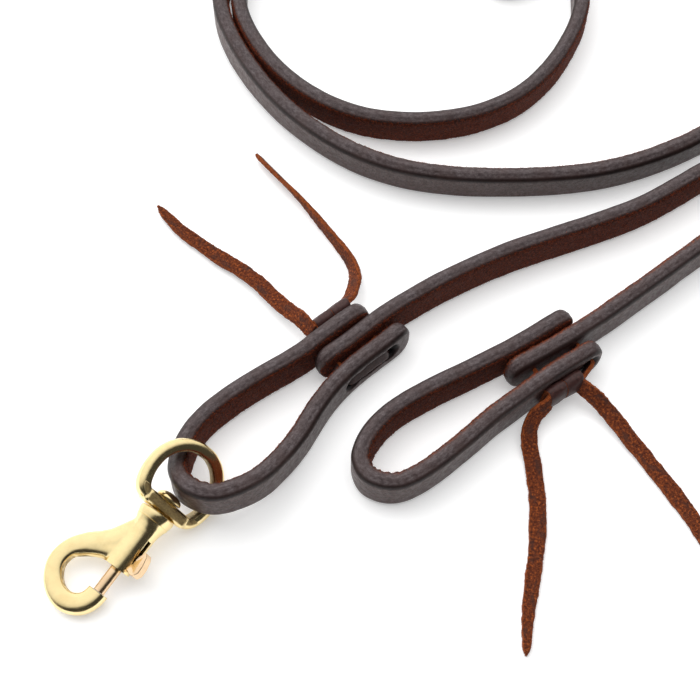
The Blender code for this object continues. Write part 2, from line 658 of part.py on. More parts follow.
def bolt_spring(shop, axis):
    steps = 8
    points = []
    start, end = SPRING_SPAN
    count = SPRING_TURNS * steps
    for step in range(count + 1):
        angle = 2 * math.pi * step / steps
        x = start + SPRING_WIRE_RADIUS + (end - start - 2 * SPRING_WIRE_RADIUS) * step / count
        points.append((x, SPRING_RADIUS * math.cos(angle), SPRING_RADIUS * math.sin(angle)))
    curve = bpy.data.curves.new("bolt_spring", "CURVE")
    curve.dimensions = "3D"
    curve.bevel_depth = SPRING_WIRE_RADIUS * MM
    curve.bevel_resolution = 1
    curve.use_fill_caps = True
    spline = curve.splines.new("POLY")
    spline.points.add(len(points) - 1)
    for point, (x, y, z) in zip(spline.points, points):
        point.co = (x * MM, y * MM, z * MM, 1.0)
    spring = bpy.data.objects.new("bolt_spring", curve)
    bpy.context.scene.collection.objects.link(spring)
    shop.keep(spring, "spring", axis)


def swivel_eye(shop, axis):
    half = [(p.x, p.y, EYE_WIRE_RADIUS) for p in spline_through(EYE_ROUTE, 4)]
    other = [(x, -y, radius) for x, y, radius in reversed(half[:-1])]
    plate = box(
        "swivel_eye",
        (PLATE[0], -PLATE_HALF_LENGTH, -PLATE_HALF_WIDTH),
        (PLATE[1], PLATE_HALF_LENGTH, PLATE_HALF_WIDTH),
    )
    round_edges = plate.modifiers.new("soft_edges", "BEVEL")
    round_edges.width = 0.6 * MM
    round_edges.segments = 1
    shop.keep(plate, "brass", axis)
    wire = shop.cutter(local_mesh(tube("eye_wire", half + other)), axis)
    subtract(plate, wire, "UNION")
    start, end = PLATE[0] - CUTTER_OVERRUN, PLATE[1] + CUTTER_OVERRUN
    hole = plain_cylinder("plate_hole", start, end, PLATE_HOLE_RADIUS)
    subtract(plate, shop.cutter(hole, axis))


def snap(shop):
    snap_axis = frame_empty(shop, "snap_axis", SNAP_NOSE, 0.0)
    eye_axis = frame_empty(shop, "eye_axis", SNAP_NOSE, EYE_ROLL)
    snap_body(shop, snap_axis)
    snap_bolt(shop, snap_axis)
    thumb_lug(shop, snap_axis)
    swivel_post(shop, snap_axis)
    bolt_spring(shop, snap_axis)
    swivel_eye(shop, eye_axis)


def shade(shop):
    for obj in shop.leash.objects:
        if obj.type == "MESH":
            obj.data.shade_smooth()
            obj.data.set_sharp_from_angle(angle=math.radians(35.0))


def main():
    clear_scene()
    shop = Shop()
    leather(shop)
    laces(shop)
    snap(shop)
    shade(shop)
    bpy.context.view_layer.update()


main()
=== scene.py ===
"""Looks of the training leash: harness leather, laces and a brass swivel bolt snap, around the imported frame.

Lengths in the route lists and the shape functions are millimetres of the layout, +X right, +Y away, +Z up.
on_table() turns them into the frame's metres.
"""

import math

import bmesh
import bpy
import numpy as np
from mathutils import Matrix, Vector


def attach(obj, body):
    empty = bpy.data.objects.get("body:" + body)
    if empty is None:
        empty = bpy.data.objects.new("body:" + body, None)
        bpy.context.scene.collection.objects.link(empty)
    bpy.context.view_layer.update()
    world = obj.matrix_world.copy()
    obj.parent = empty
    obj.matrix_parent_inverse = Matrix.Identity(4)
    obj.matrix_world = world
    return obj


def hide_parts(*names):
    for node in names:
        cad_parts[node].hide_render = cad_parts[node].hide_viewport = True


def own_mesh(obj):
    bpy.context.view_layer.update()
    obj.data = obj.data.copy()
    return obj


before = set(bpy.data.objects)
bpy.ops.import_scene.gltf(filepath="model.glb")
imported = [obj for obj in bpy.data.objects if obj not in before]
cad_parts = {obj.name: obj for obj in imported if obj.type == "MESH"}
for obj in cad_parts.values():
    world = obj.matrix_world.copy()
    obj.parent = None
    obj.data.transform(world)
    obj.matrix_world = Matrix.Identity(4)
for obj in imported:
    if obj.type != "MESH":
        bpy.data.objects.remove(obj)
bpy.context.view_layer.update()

MM = 0.001
LAYOUT_CENTRE = np.array((62.7, 56.1, 0.0))

# ---- driving sizes, millimetres
STRAP_WIDTH = 12.7
STRAP_THICKNESS = 5.5
STRAP_CORNER = 1.8
STRAP_CROWN = 0.3
END_ROUNDING = 5.2
LACE_WIDTH = 4.9
LACE_THICKNESS = 1.7
STITCH_WIDTH = 4.0
STITCH_THICKNESS = 1.6
STITCH_LEAN = math.radians(22.0)
STITCH_TURN_RADIUS = 1.3
LACE_CORNER = 0.4
TAIL_CORNER = 0.45
LACE_CROWN = 0.05
HOLE_HEIGHT = 7.0
LAYER_PITCH = 5.8
# Holes and the groove between them, in a leg's grain face: reach along, reach up, depth
HOLE_PIT = (3.3, 3.0, 2.6)
LACE_GROOVE = (7.6, 2.9, 1.8)
# Straps: distance between the mesh's rings, and points across a face
MAIN_MESH = (1.1, 12)
LOOP_MESH = (0.5, 24)
# The run from which a strap's flesh-side corners show their orange fibres, painted in only on the legs where
# light falls on those corners; before it they stay dark, as painted shade. The snap loop ends before its own.
MAIN_LIT_FUZZ_FROM = 1340.0
SNAP_LIT_FUZZ_FROM = 200.0
FREE_LIT_FUZZ_FROM = 70.0
# Loose fibres: radius and mean length, and how many stand on each millimetre of run
STRAP_FIBRE = (0.08, 0.45)
LACE_FIBRE = (0.06, 0.34)
STRAP_FIBRES = 9
TAIL_FIBRES = 22
STITCH_FIBRES = 4

# ---- routes, as the frame has them
# Straps: x, y, and where they are not 0, lift of the lower edge and lean of the top edge to the right of
# travel in degrees
SNAP_END_LINE = [
    (-9.4, -10.2), (-5.7, -7.3), (0, -2.7), (5.6, 2.3), (10.4, 6.4), (16.5, 10.9), (28.8, 18.9),
    (47.3, 28.6), (79.1, 41.2), (92.4, 47.2), (106.2, 55.8), (113.3, 60.5),
]
INNER_LINK = [
    (128, 68.8), (144, 75.5), (159.5, 83), (173, 92.5), (182, 105), (185.5, 120), (184, 136), (179, 150),
    (170, 160.5), (158, 165.5), (146, 161.5), (138, 151), (135.5, 137), (135.5, 122), (134.5, 108),
    (131.5, 95.5), (125.5, 84.5, 0, -3),
]
OUTER_RING = [
    (114, 75.2, 0, -6), (97, 66.6, 0, -8), (80.5, 61.3, 0, -9), (66.5, 59.2, 0, -9), (48, 58.4, 0, -9),
    (32, 59.2, 0, -9), (16, 62.3, 0, -9), (0.5, 69.2, 0, -8), (-14.5, 80.6, 0, -7), (-25, 92, 0, -5),
    (-33, 103.6, 0, -2), (-39.6, 116), (-44, 128.6), (-45.6, 143), (-43.8, 158), (-38, 172), (-29, 184),
    (-17, 193), (-3, 198), (12, 199.5), (27, 197.5), (41, 191.5), (53, 182), (61.5, 170),
]
FOLD = [(64.6, 157.5), (60.5, 148.5), (51.5, 148.8), (48.6, 157.5)]
INNER_RING = [
    (47.5, 169), (40.5, 180), (31, 187.6), (20, 191.6), (8, 192.7), (-4, 190.9), (-15, 186.2), (-25, 178.6),
    (-32.8, 168.2), (-37.6, 156), (-39.2, 143), (-37.9, 130), (-33.6, 118.5, 0, 2), (-26.6, 106.8, 0, 5),
    (-17.6, 96.7, 0, 7), (-7, 88.7, 0, 8), (4.5, 83.6, 0, 9), (17, 81.5, 0, 9), (29.5, 81.9, 0, 8),
    (43, 85.2, 0, 8), (56, 92.4, 0, 6), (67, 103.9, 0, 4), (75.5, 118.5, 0, 2), (80.2, 131.5),
]
OUTER_LINK = [
    (81.6, 146), (82.6, 160), (85.5, 173.5), (91.5, 186), (101.5, 196), (115, 202.3), (130.5, 204.6),
    (147, 203.6), (163, 199.2), (178, 191), (190, 179), (199, 164), (204.5, 147), (206, 129), (203.5, 111),
    (197, 95), (187, 81.8), (173.5, 71.2), (158, 62.6), (141.5, 54.2), (125.5, 44.4),
]
FREE_END_LINE = [
    (109.7, 32.5), (96.1, 21.9), (82.8, 11.6), (75, 5.7), (65.2, -1.1), (59, -5.1), (52.9, -8.8),
    (46, -12.8),
]
MAIN_ROUTE = SNAP_END_LINE + INNER_LINK + OUTER_RING + FOLD + INNER_RING + OUTER_LINK + FREE_END_LINE
SNAP_LOOP_ROUTE = [
    (4.8, 9.5), (1.7, 7), (-4.1, 2.3), (-9.8, -2.6), (-13.5, -6), (-18.9, -9.9), (-24.6, -13.6),
    (-30.1, -17.5), (-35.7, -21.8), (-40.9, -26.7), (-45.2, -32.6), (-47.5, -38.8), (-47.9, -44.6, 1.2, 0),
    (-45.2, -50.5, 4.4, 0), (-40.6, -53.6, 5.7, 0), (-36.4, -54.2, 6, 0), (-30.6, -52.2, 5.4, 0),
    (-24.6, -47.8, 3.6, 0), (-19.4, -41.4, 1.6, 0), (-15, -34.6, 0.2, 0), (-9.4, -24.4), (-5.4, -18.4),
    (0.2, -12), (7, -5.8), (10.3, -3), (13.4, -0.1), (16.5, 3.3),
]
FREE_LOOP_ROUTE = [
    (66, 7.3), (62.3, 4.5), (58, 1.6), (51.7, -2.6), (45.5, -6.4), (39.4, -9.8), (33.4, -13.1),
    (27.5, -16.2), (21.6, -19.5), (15.9, -23.1), (10.6, -27.3), (6.6, -32), (4, -36.6), (3, -41.2),
    (4.9, -45.8), (8.9, -48), (13.3, -48.2), (18.1, -46.3), (23.3, -42.8), (29, -38.2), (34.8, -33.1),
    (40.7, -27.6), (47.2, -22.5), (54.4, -16.9), (60.4, -12.6), (68.2, -7.4), (73.8, -3.6),
]
# Lace tails: x, y, height of the middle, turn of the flat lace about its own run in degrees, width factor
SNAP_TAIL_LEFT = [
    (-14.4, 6.2, 7.2, 50, 1), (-17.5, 9.7, 5.7, 70, 1), (-21.7, 14.4, 4, 84, 1), (-27.7, 21.6, 3, 88, 1),
    (-34.2, 27.6, 2.4, 90, 1), (-40.8, 32.3, 2, 90, 0.98), (-47.4, 37.6, 1.8, 90, 0.92),
    (-54, 43.2, 1.8, 90, 0.8), (-59, 48.7, 2, 90, 0.6), (-61.8, 52.2, 2.2, 90, 0.4),
]
SNAP_TAIL_RIGHT = [
    (-1.6, 12.6, 6.6, 40, 1), (0.2, 16.2, 5.6, 50, 1), (1.2, 20.6, 4.6, 50, 1), (1.4, 25, 3.6, 35, 1),
    (0, 30.6, 3, 18, 1), (-3.4, 36.4, 2.8, 10, 0.98), (-9.8, 45.8, 2.8, 0, 0.95),
    (-16.2, 54.8, 2.8, -12, 0.9), (-22.6, 62.8, 2.6, -26, 0.8), (-27.8, 69.2, 2.4, -28, 0.6),
    (-30.9, 73.2, 2.2, -32, 0.4),
]
FREE_TAIL_LEFT = [
    (57.2, -22.2, 6.6, 20, 1), (54.8, -24.2, 6, 35, 1), (52.6, -27, 4.8, 58, 1), (51.8, -31, 3, 76, 1),
    (52.2, -36, 1.6, 88, 1), (52.8, -42, 1.1, 90, 1), (53, -51, 1, 90, 1), (52, -63, 1, 90, 0.97),
    (49.8, -74.6, 1, 90, 0.88), (47.9, -85.6, 1, 90, 0.66), (46.9, -94.6, 1, 90, 0.4),
]
FREE_TAIL_RIGHT = [
    (69.4, -17.2, 6.2, -40, 1), (72.2, -19.6, 5.2, -58, 1), (76.2, -24, 3.4, -76, 1),
    (81.6, -31.4, 1.8, -88, 1), (87, -39.6, 1.2, -90, 1), (92.4, -48.4, 1, -90, 1),
    (97.4, -57.6, 1, -90, 0.98), (101.8, -67.4, 1, -90, 0.92), (105, -77.4, 1, -90, 0.8),
    (107.2, -86.6, 1, -90, 0.6), (108.4, -93.6, 1, -90, 0.4),
]

# Ties: hole centres in the long strap, and the direction through the layers
SNAP_TIE = ((5.6, 2.3), (-5.7, -7.3)), np.array((0.64, -0.77, 0.0)) / math.hypot(0.64, 0.77)
FREE_TIE = ((65.2, -1.1), (52.9, -8.8)), np.array((0.57, -0.82, 0.0)) / math.hypot(0.57, 0.82)
# Knots: centre, and half the length, depth and height
SNAP_KNOT = (-8.3, 7.4, 6.6), (5.6, 2.3, 3.7)
FREE_KNOT = (62.6, -18.3, 6.2), (5.4, 2.6, 3.7)
KNOT_SWELL = (0.8, 0.0, 0.2)
# The snap's stitch sags by this much below its holes where it crosses the leg's face
BRIDGE_SAG = 0.8

# The snap's own frame: +X from the barrel's nose to the eye, +Y to the hook's side, +Z out of its plane
SNAP_NOSE = (-63.5, -71.6, 5.25)
SNAP_HEADING = 54.0
SNAP_PITCH = 9.6
EYE_ROLL = 44.0
LUG_TURN = -22.0
BORE_RADIUS = 2.05
BOLT_RADIUS = 1.7
HOOK_ROUTE = [
    (9.6, 0.9, 2.6), (6.6, 3.4, 3), (3.9, 7, 3.1), (1, 11, 2.8), (-3, 14.3, 2.5), (-7.6, 15.1, 2.45),
    (-11.6, 13.2, 2.5), (-14.3, 9.6, 2.6), (-14.9, 5.4, 2.75), (-13.2, 1.9, 2.8), (-10.6, 0.3, 2.75),
    (-7, -0.2, 2.7),
]
HOOK_TIP = -7.85
SHOULDER_ROUTE = [
    (15.4, 0.3, 3.2), (12, 1.5, 3.4), (8.8, 2.9, 3.8), (5.8, 4.6, 3.9), (3.5, 7.2, 3.6), (1.2, 10.4, 3),
    (-2.6, 13.8, 2.4),
]
WEB_ROUTE = [(5.2, 0.6, 3.6), (4.0, 3.6, 3.7), (2.8, 6.6, 3.4), (0.6, 9.9, 2.8), (-2.4, 13.0, 2.2)]
CAST_SPARE = 0.2
# Castings: voxel size and rounds of smoothing
SNAP_CASTING = (0.22, 24)
EYE_CASTING = (0.18, 22)
LUG_CASTING = (0.16, 12)
SHARP_ANGLE = math.radians(32.0)
SPRING_SPAN = (4.0, 14.1)
SPRING_RADIUS = 1.45
SPRING_WIRE = 0.25
SPRING_TURNS = 7
SLOT_SPAN = (0.9, 10.7)
SLOT_HALF = 0.72
EYE_ROUTE = [
    (21, 5.6), (21.1, 7.6), (22.4, 9.1), (25.2, 10.2), (28.4, 10.55), (32, 10.1), (35.4, 8.4), (38, 5.6),
    (39.4, 2.2), (39.5, 0),
]
PLATE = (18.65, 22.65)
PLATE_HALF_LENGTH = 7.5
PLATE_HALF_WIDTH = 3.4

# ---- camera and studio
CAMERA_PLACE = (0.0, -197.0, 341.2)
CAMERA_LENS = 66.86
# The tent is brightest this way, behind and up, a little to the left. Its greys run from dark, on the side
# that faces away, to white.
BRIGHT_SIDE = (-0.30, 0.79, 0.53)
TENT_GREYS = [(0.0, 0.04), (0.05, 0.08), (0.17, 0.38), (0.34, 0.68), (0.66, 0.88), (1.0, 1.0)]
TENT_STRENGTH = 1.28
FLOOR_HALF = 3
# Softboxes: place and size in metres, watts
KEY_SOFTBOX = ((-0.95, 0.75, 1.2), 1.5, 15.0)
TOP_SOFTBOX = ((0.1, 0.2, 1.5), 1.2, 8.0)


# ---- points and noise
def on_table(points):
    return (np.asarray(points, float) - LAYOUT_CENTRE) * MM


def spline_through(points, steps=16):
    """Centripetal Catmull-Rom curve through the rows, of any number of values each."""

    def between(first, last, t_first, t_last, t):
        return first * (t_last - t) / (t_last - t_first) + last * (t - t_first) / (t_last - t_first)

    p = np.asarray(points, float)
    line = np.vstack([2 * p[0] - p[1], p, 2 * p[-1] - p[-2]])
    fine = []
    for k in range(1, len(line) - 2):
        p0, p1, p2, p3 = line[k - 1 : k + 3]
        gaps = np.sqrt(np.maximum(np.linalg.norm(np.diff(line[k - 1 : k + 3], axis=0), axis=1), 1e-6))
        t0, t1, t2, t3 = np.concatenate([[0.0], np.cumsum(gaps)])
        for t in t1 + (t2 - t1) * np.arange(steps) / steps:
            middle = between(p1, p2, t1, t2, t)
            before = between(between(p0, p1, t0, t1, t), middle, t0, t2, t)
            after = between(middle, between(p2, p3, t2, t3, t), t1, t3, t)
            fine.append(between(before, after, t1, t2, t))
    fine.append(p[-1])
    return np.array(fine)


def run_of(line):
    """The distance run along the line at each of its points."""
    return np.concatenate([[0.0], np.cumsum(np.linalg.norm(np.diff(line[:, :3], axis=0), axis=1))])


def at_runs(line, runs):
    """The line's rows at these distances along it."""
    along = run_of(line)
    return np.stack([np.interp(runs, along, line[:, k]) for k in range(line.shape[1])], axis=1)


def lattice(ix, iy, iz, seed):
    """A repeatable number from -1 to 1 for each cell, by hashing its three indices."""
    h = (ix * 374761393 + iy * 668265263 + iz * 1442695041 + seed * 144665537) & 0xFFFFFFFF
    h = ((h ^ (h >> 13)) * 1274126177) & 0xFFFFFFFF
    return ((h ^ (h >> 16)) & 0xFFFF) / 32767.5 - 1.0


def noise(points, size, seed=0):
    """Smooth noise from -1 to 1 whose lumps are about `size` across."""
    p = points / size
    cell = np.floor(p).astype(np.int64)
    f = p - cell
    f = f * f * (3 - 2 * f)
    total = np.zeros(p.shape[:-1])
    for dx, dy, dz in np.ndindex(2, 2, 2):
        near = np.abs(1 - dx - f[..., 0]) * np.abs(1 - dy - f[..., 1]) * np.abs(1 - dz - f[..., 2])
        total += near * lattice(cell[..., 0] + dx, cell[..., 1] + dy, cell[..., 2] + dz, seed)
    return total


def unit(vector):
    return vector / np.linalg.norm(vector)


def units(rows):
    return rows / np.linalg.norm(rows, axis=1)[:, None]


def smooth_step(x, low, high):
    t = np.clip((x - low) / (high - low), 0.0, 1.0)
    return t * t * (3 - 2 * t)


def face_out(obj):
    shape = bmesh.new()
    shape.from_mesh(obj.data)
    bmesh.ops.recalc_face_normals(shape, faces=shape.faces)
    shape.to_mesh(obj.data)
    shape.free()


def raw_object(name, points, faces):
    mesh = bpy.data.meshes.new(name)
    mesh.from_pydata([tuple(p) for p in points], [], faces)
    obj = bpy.data.objects.new(name, mesh)
    bpy.context.scene.collection.objects.link(obj)
    face_out(obj)
    return obj


def leather_object(name, points, faces, material):
    """A smooth mesh object at the frame's origin, its points given in millimetres of the layout."""
    obj = raw_object(name, on_table(points), faces)
    obj.data.materials.append(material)
    obj.data.shade_smooth()
    return obj


def tube_faces(rings, around, closed=False):
    """The faces between rings of points: capped at both ends or, if closed, joined end to end."""
    faces = []
    for j in range(rings if closed else rings - 1):
        for i in range(around):
            k, m = (i + 1) % around, (j + 1) % rings
            faces.append((j * around + i, j * around + k, m * around + k, m * around + i))
    if not closed:
        faces += [tuple(range(around))[::-1], tuple(range((rings - 1) * around, rings * around))]
    return faces


def give(obj, name, values):
    """Stores a number for each of the mesh's points, for its material to read."""
    values = np.asarray(values, np.float32)
    kind = "FLOAT_VECTOR" if values.ndim == 2 else "FLOAT"
    field = "vector" if values.ndim == 2 else "value"
    attribute = obj.data.attributes.new(name, kind, "POINT")
    attribute.data.foreach_set(field, values.ravel())


# ---- bands: straps and laces
def outline(face_steps, corner_steps, edge_steps):
    """Round a band's section: each point's place on the core rectangle, and its way out from there."""
    core, out = [], []
    for side in range(4):
        steps = face_steps if side % 2 == 0 else edge_steps
        across = np.linspace(-1, 1, steps + 2)[1:-1]
        spin = np.linalg.matrix_power(np.array([[0, -1], [1, 0]]), side)
        for t in across:
            core.append(spin @ (1.0, t))
            out.append(spin @ (1.0, 0.0))
        for step in range(corner_steps + 1):
            angle = math.pi / 2 * step / corner_steps
            core.append(spin @ (1.0, 1.0))
            out.append(spin @ (math.cos(angle), math.sin(angle)))
    return np.array(core), np.array(out)


def band_axes(centre, turn):
    """The run's direction, the band's thickness axis and its width axis at each point."""
    along = units(np.gradient(centre, axis=0))
    right = units(np.cross(along, (0.0, 0.0, 1.0)))
    up = np.cross(right, along)
    c, s = np.cos(turn)[:, None], np.sin(turn)[:, None]
    return along, right * c - up * s, up * c + right * s


def band(centre, turn, half_thick, half_wide, corner, crown, section, shape):
    """Sweeps a section along the centre line. shape(run, n, w, out) pushes each point out."""
    core, out = section
    run = run_of(centre)
    _, thick_axis, wide_axis = band_axes(centre, turn)
    corner = np.minimum(corner, np.minimum(half_thick, half_wide) * 0.92)[:, None]
    n = core[:, 0] * (half_thick[:, None] - corner) + out[:, 0] * corner
    w = core[:, 1] * (half_wide[:, None] - corner) + out[:, 1] * corner
    on_edge = np.abs(out[:, 1]) > 0.999
    w = w + on_edge * np.sign(out[:, 1]) * crown * (1 - core[:, 0] ** 2)
    runs = np.repeat(run[:, None], len(core), axis=1)
    push = shape(runs, n, w, out)
    n = n + out[:, 0] * push
    w = w + out[:, 1] * push
    points = centre[:, None] + n[..., None] * thick_axis[:, None] + w[..., None] * wide_axis[:, None]
    place = np.stack([runs, n, w], axis=-1).reshape(-1, 3)
    return points.reshape(-1, 3), tube_faces(*n.shape), place, (runs, out, thick_axis, wide_axis)


def fibres(roots, ways, places, radius, long, chance):
    """Loose fibres of flesh: little three-sided spikes that stand in the surface at the roots."""
    points, faces, unrolled = [], [], []
    for root, way, place in zip(roots, ways, places):
        lean = unit(way + chance.normal(0, 0.55, 3))
        side = unit(np.cross(lean, chance.normal(0, 1, 3)))
        other = np.cross(lean, side)
        first = len(points)
        reach = long * chance.uniform(0.4, 1.3)
        for k in range(3):
            angle = 2 * math.pi * k / 3
            points.append(root - 0.1 * lean + radius * (side * math.cos(angle) + other * math.sin(angle)))
        points.append(root + lean * reach)
        faces += [(first, first + 2, first + 1)]
        faces += [(first + k, first + (k + 1) % 3, first + 3) for k in range(3)]
        unrolled += [place] * 4
    return points, faces, unrolled


def banded(name, made, flesh, edge, material, count, where, fibre, seed):
    """The band's object, with fibres at `count` of the mesh's points chosen by their weight in `where`."""
    points, faces, place, (runs, out, thick_axis, wide_axis) = made
    chance = np.random.default_rng(seed)
    weight = np.broadcast_to(where, runs.shape).ravel().astype(float)
    chosen = chance.choice(len(points), size=count, p=weight / weight.sum())
    ring, around = np.divmod(chosen, len(out))
    ways = out[around, :1] * thick_axis[ring] + out[around, 1:] * wide_axis[ring]
    along = np.roll(points.reshape(*runs.shape, 3), -1, axis=0) - points.reshape(*runs.shape, 3)
    along[-1] = 0
    roots = points[chosen] + along.reshape(-1, 3)[chosen] * chance.uniform(0, 1, (count, 1))
    more, more_faces, more_place = fibres(roots, ways, place[chosen], *fibre, chance)
    first = len(points)
    faces = faces + [tuple(first + i for i in face) for face in more_faces]
    obj = leather_object(name, np.vstack([points, more]), faces, material)
    give(obj, "unrolled", np.vstack([place, more_place]))
    for attribute, on_band, on_fibres in (("flesh", flesh, 1.0), ("edge", edge, 0.0), ("fuzz", 0.0, 1.0)):
        band_values = np.broadcast_to(on_band, runs.shape).ravel()
        give(obj, attribute, np.concatenate([band_values, np.full(len(more), on_fibres)]))
    return obj


def end_runs(length, step, rounding):
    """Distances along a band whose ends are rounded: close together at both ends."""
    bow = rounding * (1 - np.cos(np.linspace(0, math.pi / 2, 9)))
    middle = np.linspace(rounding, length - rounding, max(2, int((length - 2 * rounding) / step)) + 1)
    return np.concatenate([bow[:-1], middle, length - bow[-2::-1]])


def rounded_end(run, length, rounding):
    """From 0 at a band's very end to 1 where its rounding stops, along a quarter circle."""
    inward = np.clip(np.minimum(run, length - run) / rounding, 0, 1)
    return np.sqrt(np.maximum(0.0, 1 - (1 - inward) ** 2))


def strap_lift(lean):
    """Height of a strap's middle over its lower edge, when its top leans over."""
    angle = np.abs(lean)
    core_w = STRAP_WIDTH / 2 - STRAP_CORNER
    core_n = STRAP_THICKNESS / 2 - STRAP_CORNER
    return core_w * np.cos(angle) + core_n * np.sin(angle) + STRAP_CORNER


def nearest_run(centre, place):
    """The distance along the line of its point nearest to a place on the table."""
    return run_of(centre)[np.linalg.norm(centre[:, :2] - np.asarray(place)[:2], axis=1).argmin()]


def strap(name, route, flesh_side, mesh, pits, lit_fuzz_from, material):
    """A strap on its edge. Pits are (place, reach along, reach up, depth) of hollows in its grain face.

    Past a given run, the flesh side's corners show their orange fibres, painted in only where light falls on
    those corners; before it they stay dark, as painted shade.
    """
    fine = spline_through([(*row, 0, 0)[:4] for row in route])
    length = run_of(fine)[-1]
    step, face_steps = mesh
    runs = end_runs(length, step, END_ROUNDING)
    rows = at_runs(fine, runs)
    lean = np.radians(rows[:, 3])
    centre = np.stack([rows[:, 0], rows[:, 1], rows[:, 2] + strap_lift(lean)], axis=1)
    bow = rounded_end(runs, length, END_ROUNDING)
    half_wide = STRAP_WIDTH / 2 - STRAP_CROWN - END_ROUNDING * (1 - bow)
    half_thick = STRAP_THICKNESS / 2 * (1 - 0.5 * (1 - bow) ** 1.4)
    along = np.gradient(centre[:, :2], axis=0)
    heading = np.unwrap(np.arctan2(along[:, 1], along[:, 0]))
    curving = np.gradient(heading, runs)
    inner_flesh = smooth_step(-curving * flesh_side, 0.02, 0.12)
    lips = [(nearest_run(centre, place), *rest) for place, *rest in pits]

    def off_pit(r, w, at, reach_along, reach_up):
        return np.hypot((r - at) / reach_along, (w - (HOLE_HEIGHT - STRAP_WIDTH / 2)) / reach_up)

    def shape(r, n, w, out):
        place = np.stack([r, n, w], axis=-1)
        flesh = smooth_step(out[:, 0] * flesh_side, 0.3, 1.0)
        push = 0.10 * noise(place, 9.0, 1) + 0.035 * noise(place, 2.2, 2)
        push = push + flesh * (0.10 * noise(place, 1.1, 3) + 0.10 * noise(place, 0.55, 4) - 0.05)
        folds = np.sin(r * 2.1 + 2.5 * noise(place * (1, 0, 1), 5.0, 5))
        push = push + flesh * inner_flesh[:, None] * 0.22 * folds
        for *lip, depth in lips:
            push = push - depth * (1 - smooth_step(off_pit(r, w, *lip), 0.72, 1.12)) * (out[:, 0] > 0.9)
        return np.minimum(push, 0.12)

    section = outline(face_steps, 5, 5)
    made = band(centre, lean, half_thick, half_wide, STRAP_CORNER, STRAP_CROWN, section, shape)
    toward_flesh = out_of(section) * flesh_side
    flesh = smooth_step(toward_flesh, 0.5, 0.9)
    corner = np.exp(-(((toward_flesh - 0.75) / 0.22) ** 2)) + 0.04 * (toward_flesh > 0.9)
    count = int(length * STRAP_FIBRES)
    edge = np.abs(section[1][:, 1])
    obj = banded(f"leather_{name}", made, flesh, edge, material, count, corner, STRAP_FIBRE, 7)
    r, w = made[2][:, 0], made[2][:, 2]
    facing = np.tile(out_of(section), len(runs))
    # Painted shade: inside the lace holes and the groove the colour goes near black, the more the deeper they
    # are.
    dark = np.zeros(len(r))
    for *lip, depth in lips:
        inside = (1 - smooth_step(off_pit(r, w, *lip), 0.95, 1.2)) * (facing > 0.9)
        dark = np.maximum(dark, inside * smooth_step(depth, 1.0, 2.2))
    # The flesh corners' orange fibres, kept faint before the given run: painted light on the legs where light
    # falls on those corners, painted shade elsewhere.
    lit_fuzz = np.exp(-(((np.tile(toward_flesh, len(runs)) - 0.55) / 0.28) ** 2))
    lit_fuzz = lit_fuzz * (0.12 + 0.88 * smooth_step(r, lit_fuzz_from, lit_fuzz_from + 60.0))
    rest = np.zeros(len(obj.data.vertices) - len(r))
    give(obj, "pit_shade", np.concatenate([dark, rest]))
    give(obj, "lit_fuzz", np.concatenate([lit_fuzz, rest]))
    return obj, centre


def out_of(section):
    """How far each point of a section faces along the band's thickness axis."""
    return section[1][:, 0]


def lace_shape(flesh_side):
    def shape(r, n, w, out):
        place = np.stack([r, n, w], axis=-1)
        flesh = smooth_step(out[:, 0] * flesh_side, -0.2, 0.8)
        push = 0.10 * noise(place, 4.0, 11) + flesh * 0.10 * noise(place, 0.7, 12)
        return push + np.abs(out[:, 1]) * (0.16 * noise(place, 0.9, 13) + 0.14 * noise(place, 2.6, 14)) - 0.1

    return shape


def lace(name, made, section, flesh_side, fibres_per_mm, material, seed):
    """A lace from its swept band, furry along its cut edges and on its flesh side."""
    toward_flesh = out_of(section) * flesh_side
    edge = np.abs(section[1][:, 1])
    furry = 1.6 * edge**2 + 0.5 * (toward_flesh > 0.5)
    count = int(made[2][-1, 0] * fibres_per_mm)
    flesh = smooth_step(toward_flesh, -0.1, 0.5)
    return banded(name, made, flesh, edge, material, count, furry, LACE_FIBRE, seed)


def lace_tail(name, route, flesh_side, material):
    fine = spline_through(route)
    length = run_of(fine)[-1]
    runs = np.linspace(0, length, int(length / 0.45) + 1)
    rows = at_runs(fine, runs)
    tip = np.sqrt(smooth_step(length - runs, -0.1, 3.0))
    half_wide = LACE_WIDTH / 2 * rows[:, 4] * (0.35 + 0.65 * tip)
    half_thick = np.full(len(runs), LACE_THICKNESS / 2) * (0.6 + 0.4 * tip)
    section = outline(9, 3, 3)
    made = band(
        rows[:, :3], np.radians(rows[:, 3]), half_thick, half_wide, TAIL_CORNER, LACE_CROWN, section,
        lace_shape(flesh_side),
    )
    return lace(name, made, section, flesh_side, TAIL_FIBRES, material, len(route)), rows[:, :3]


def across_layers(tie, index, distance):
    """The place at a distance from one of a tie's holes, on the line through the layers."""
    holes, through = tie
    x, y = holes[index]
    return np.array((x, y, HOLE_HEIGHT)) + through * distance


def rounded_run(corners, radius, steps=6):
    """The polyline through the corners with each inner corner turned on an arc of the radius."""
    points = [np.array(corners[0])]
    for before, corner, after in zip(corners, corners[1:], corners[2:]):
        back, ahead = unit(before - corner), unit(after - corner)
        half = math.acos(float(back @ ahead)) / 2
        middle = corner + unit(back + ahead) * (radius / math.sin(half))
        start = corner + back * (radius / math.tan(half)) - middle
        end = corner + ahead * (radius / math.tan(half)) - middle
        sweep = math.pi - 2 * half
        for step in range(steps + 1):
            share = step / steps
            arc = (start * math.sin((1 - share) * sweep) + end * math.sin(share * sweep)) / math.sin(sweep)
            points.append(middle + arc)
    points.append(np.array(corners[-1]))
    return np.array(points)


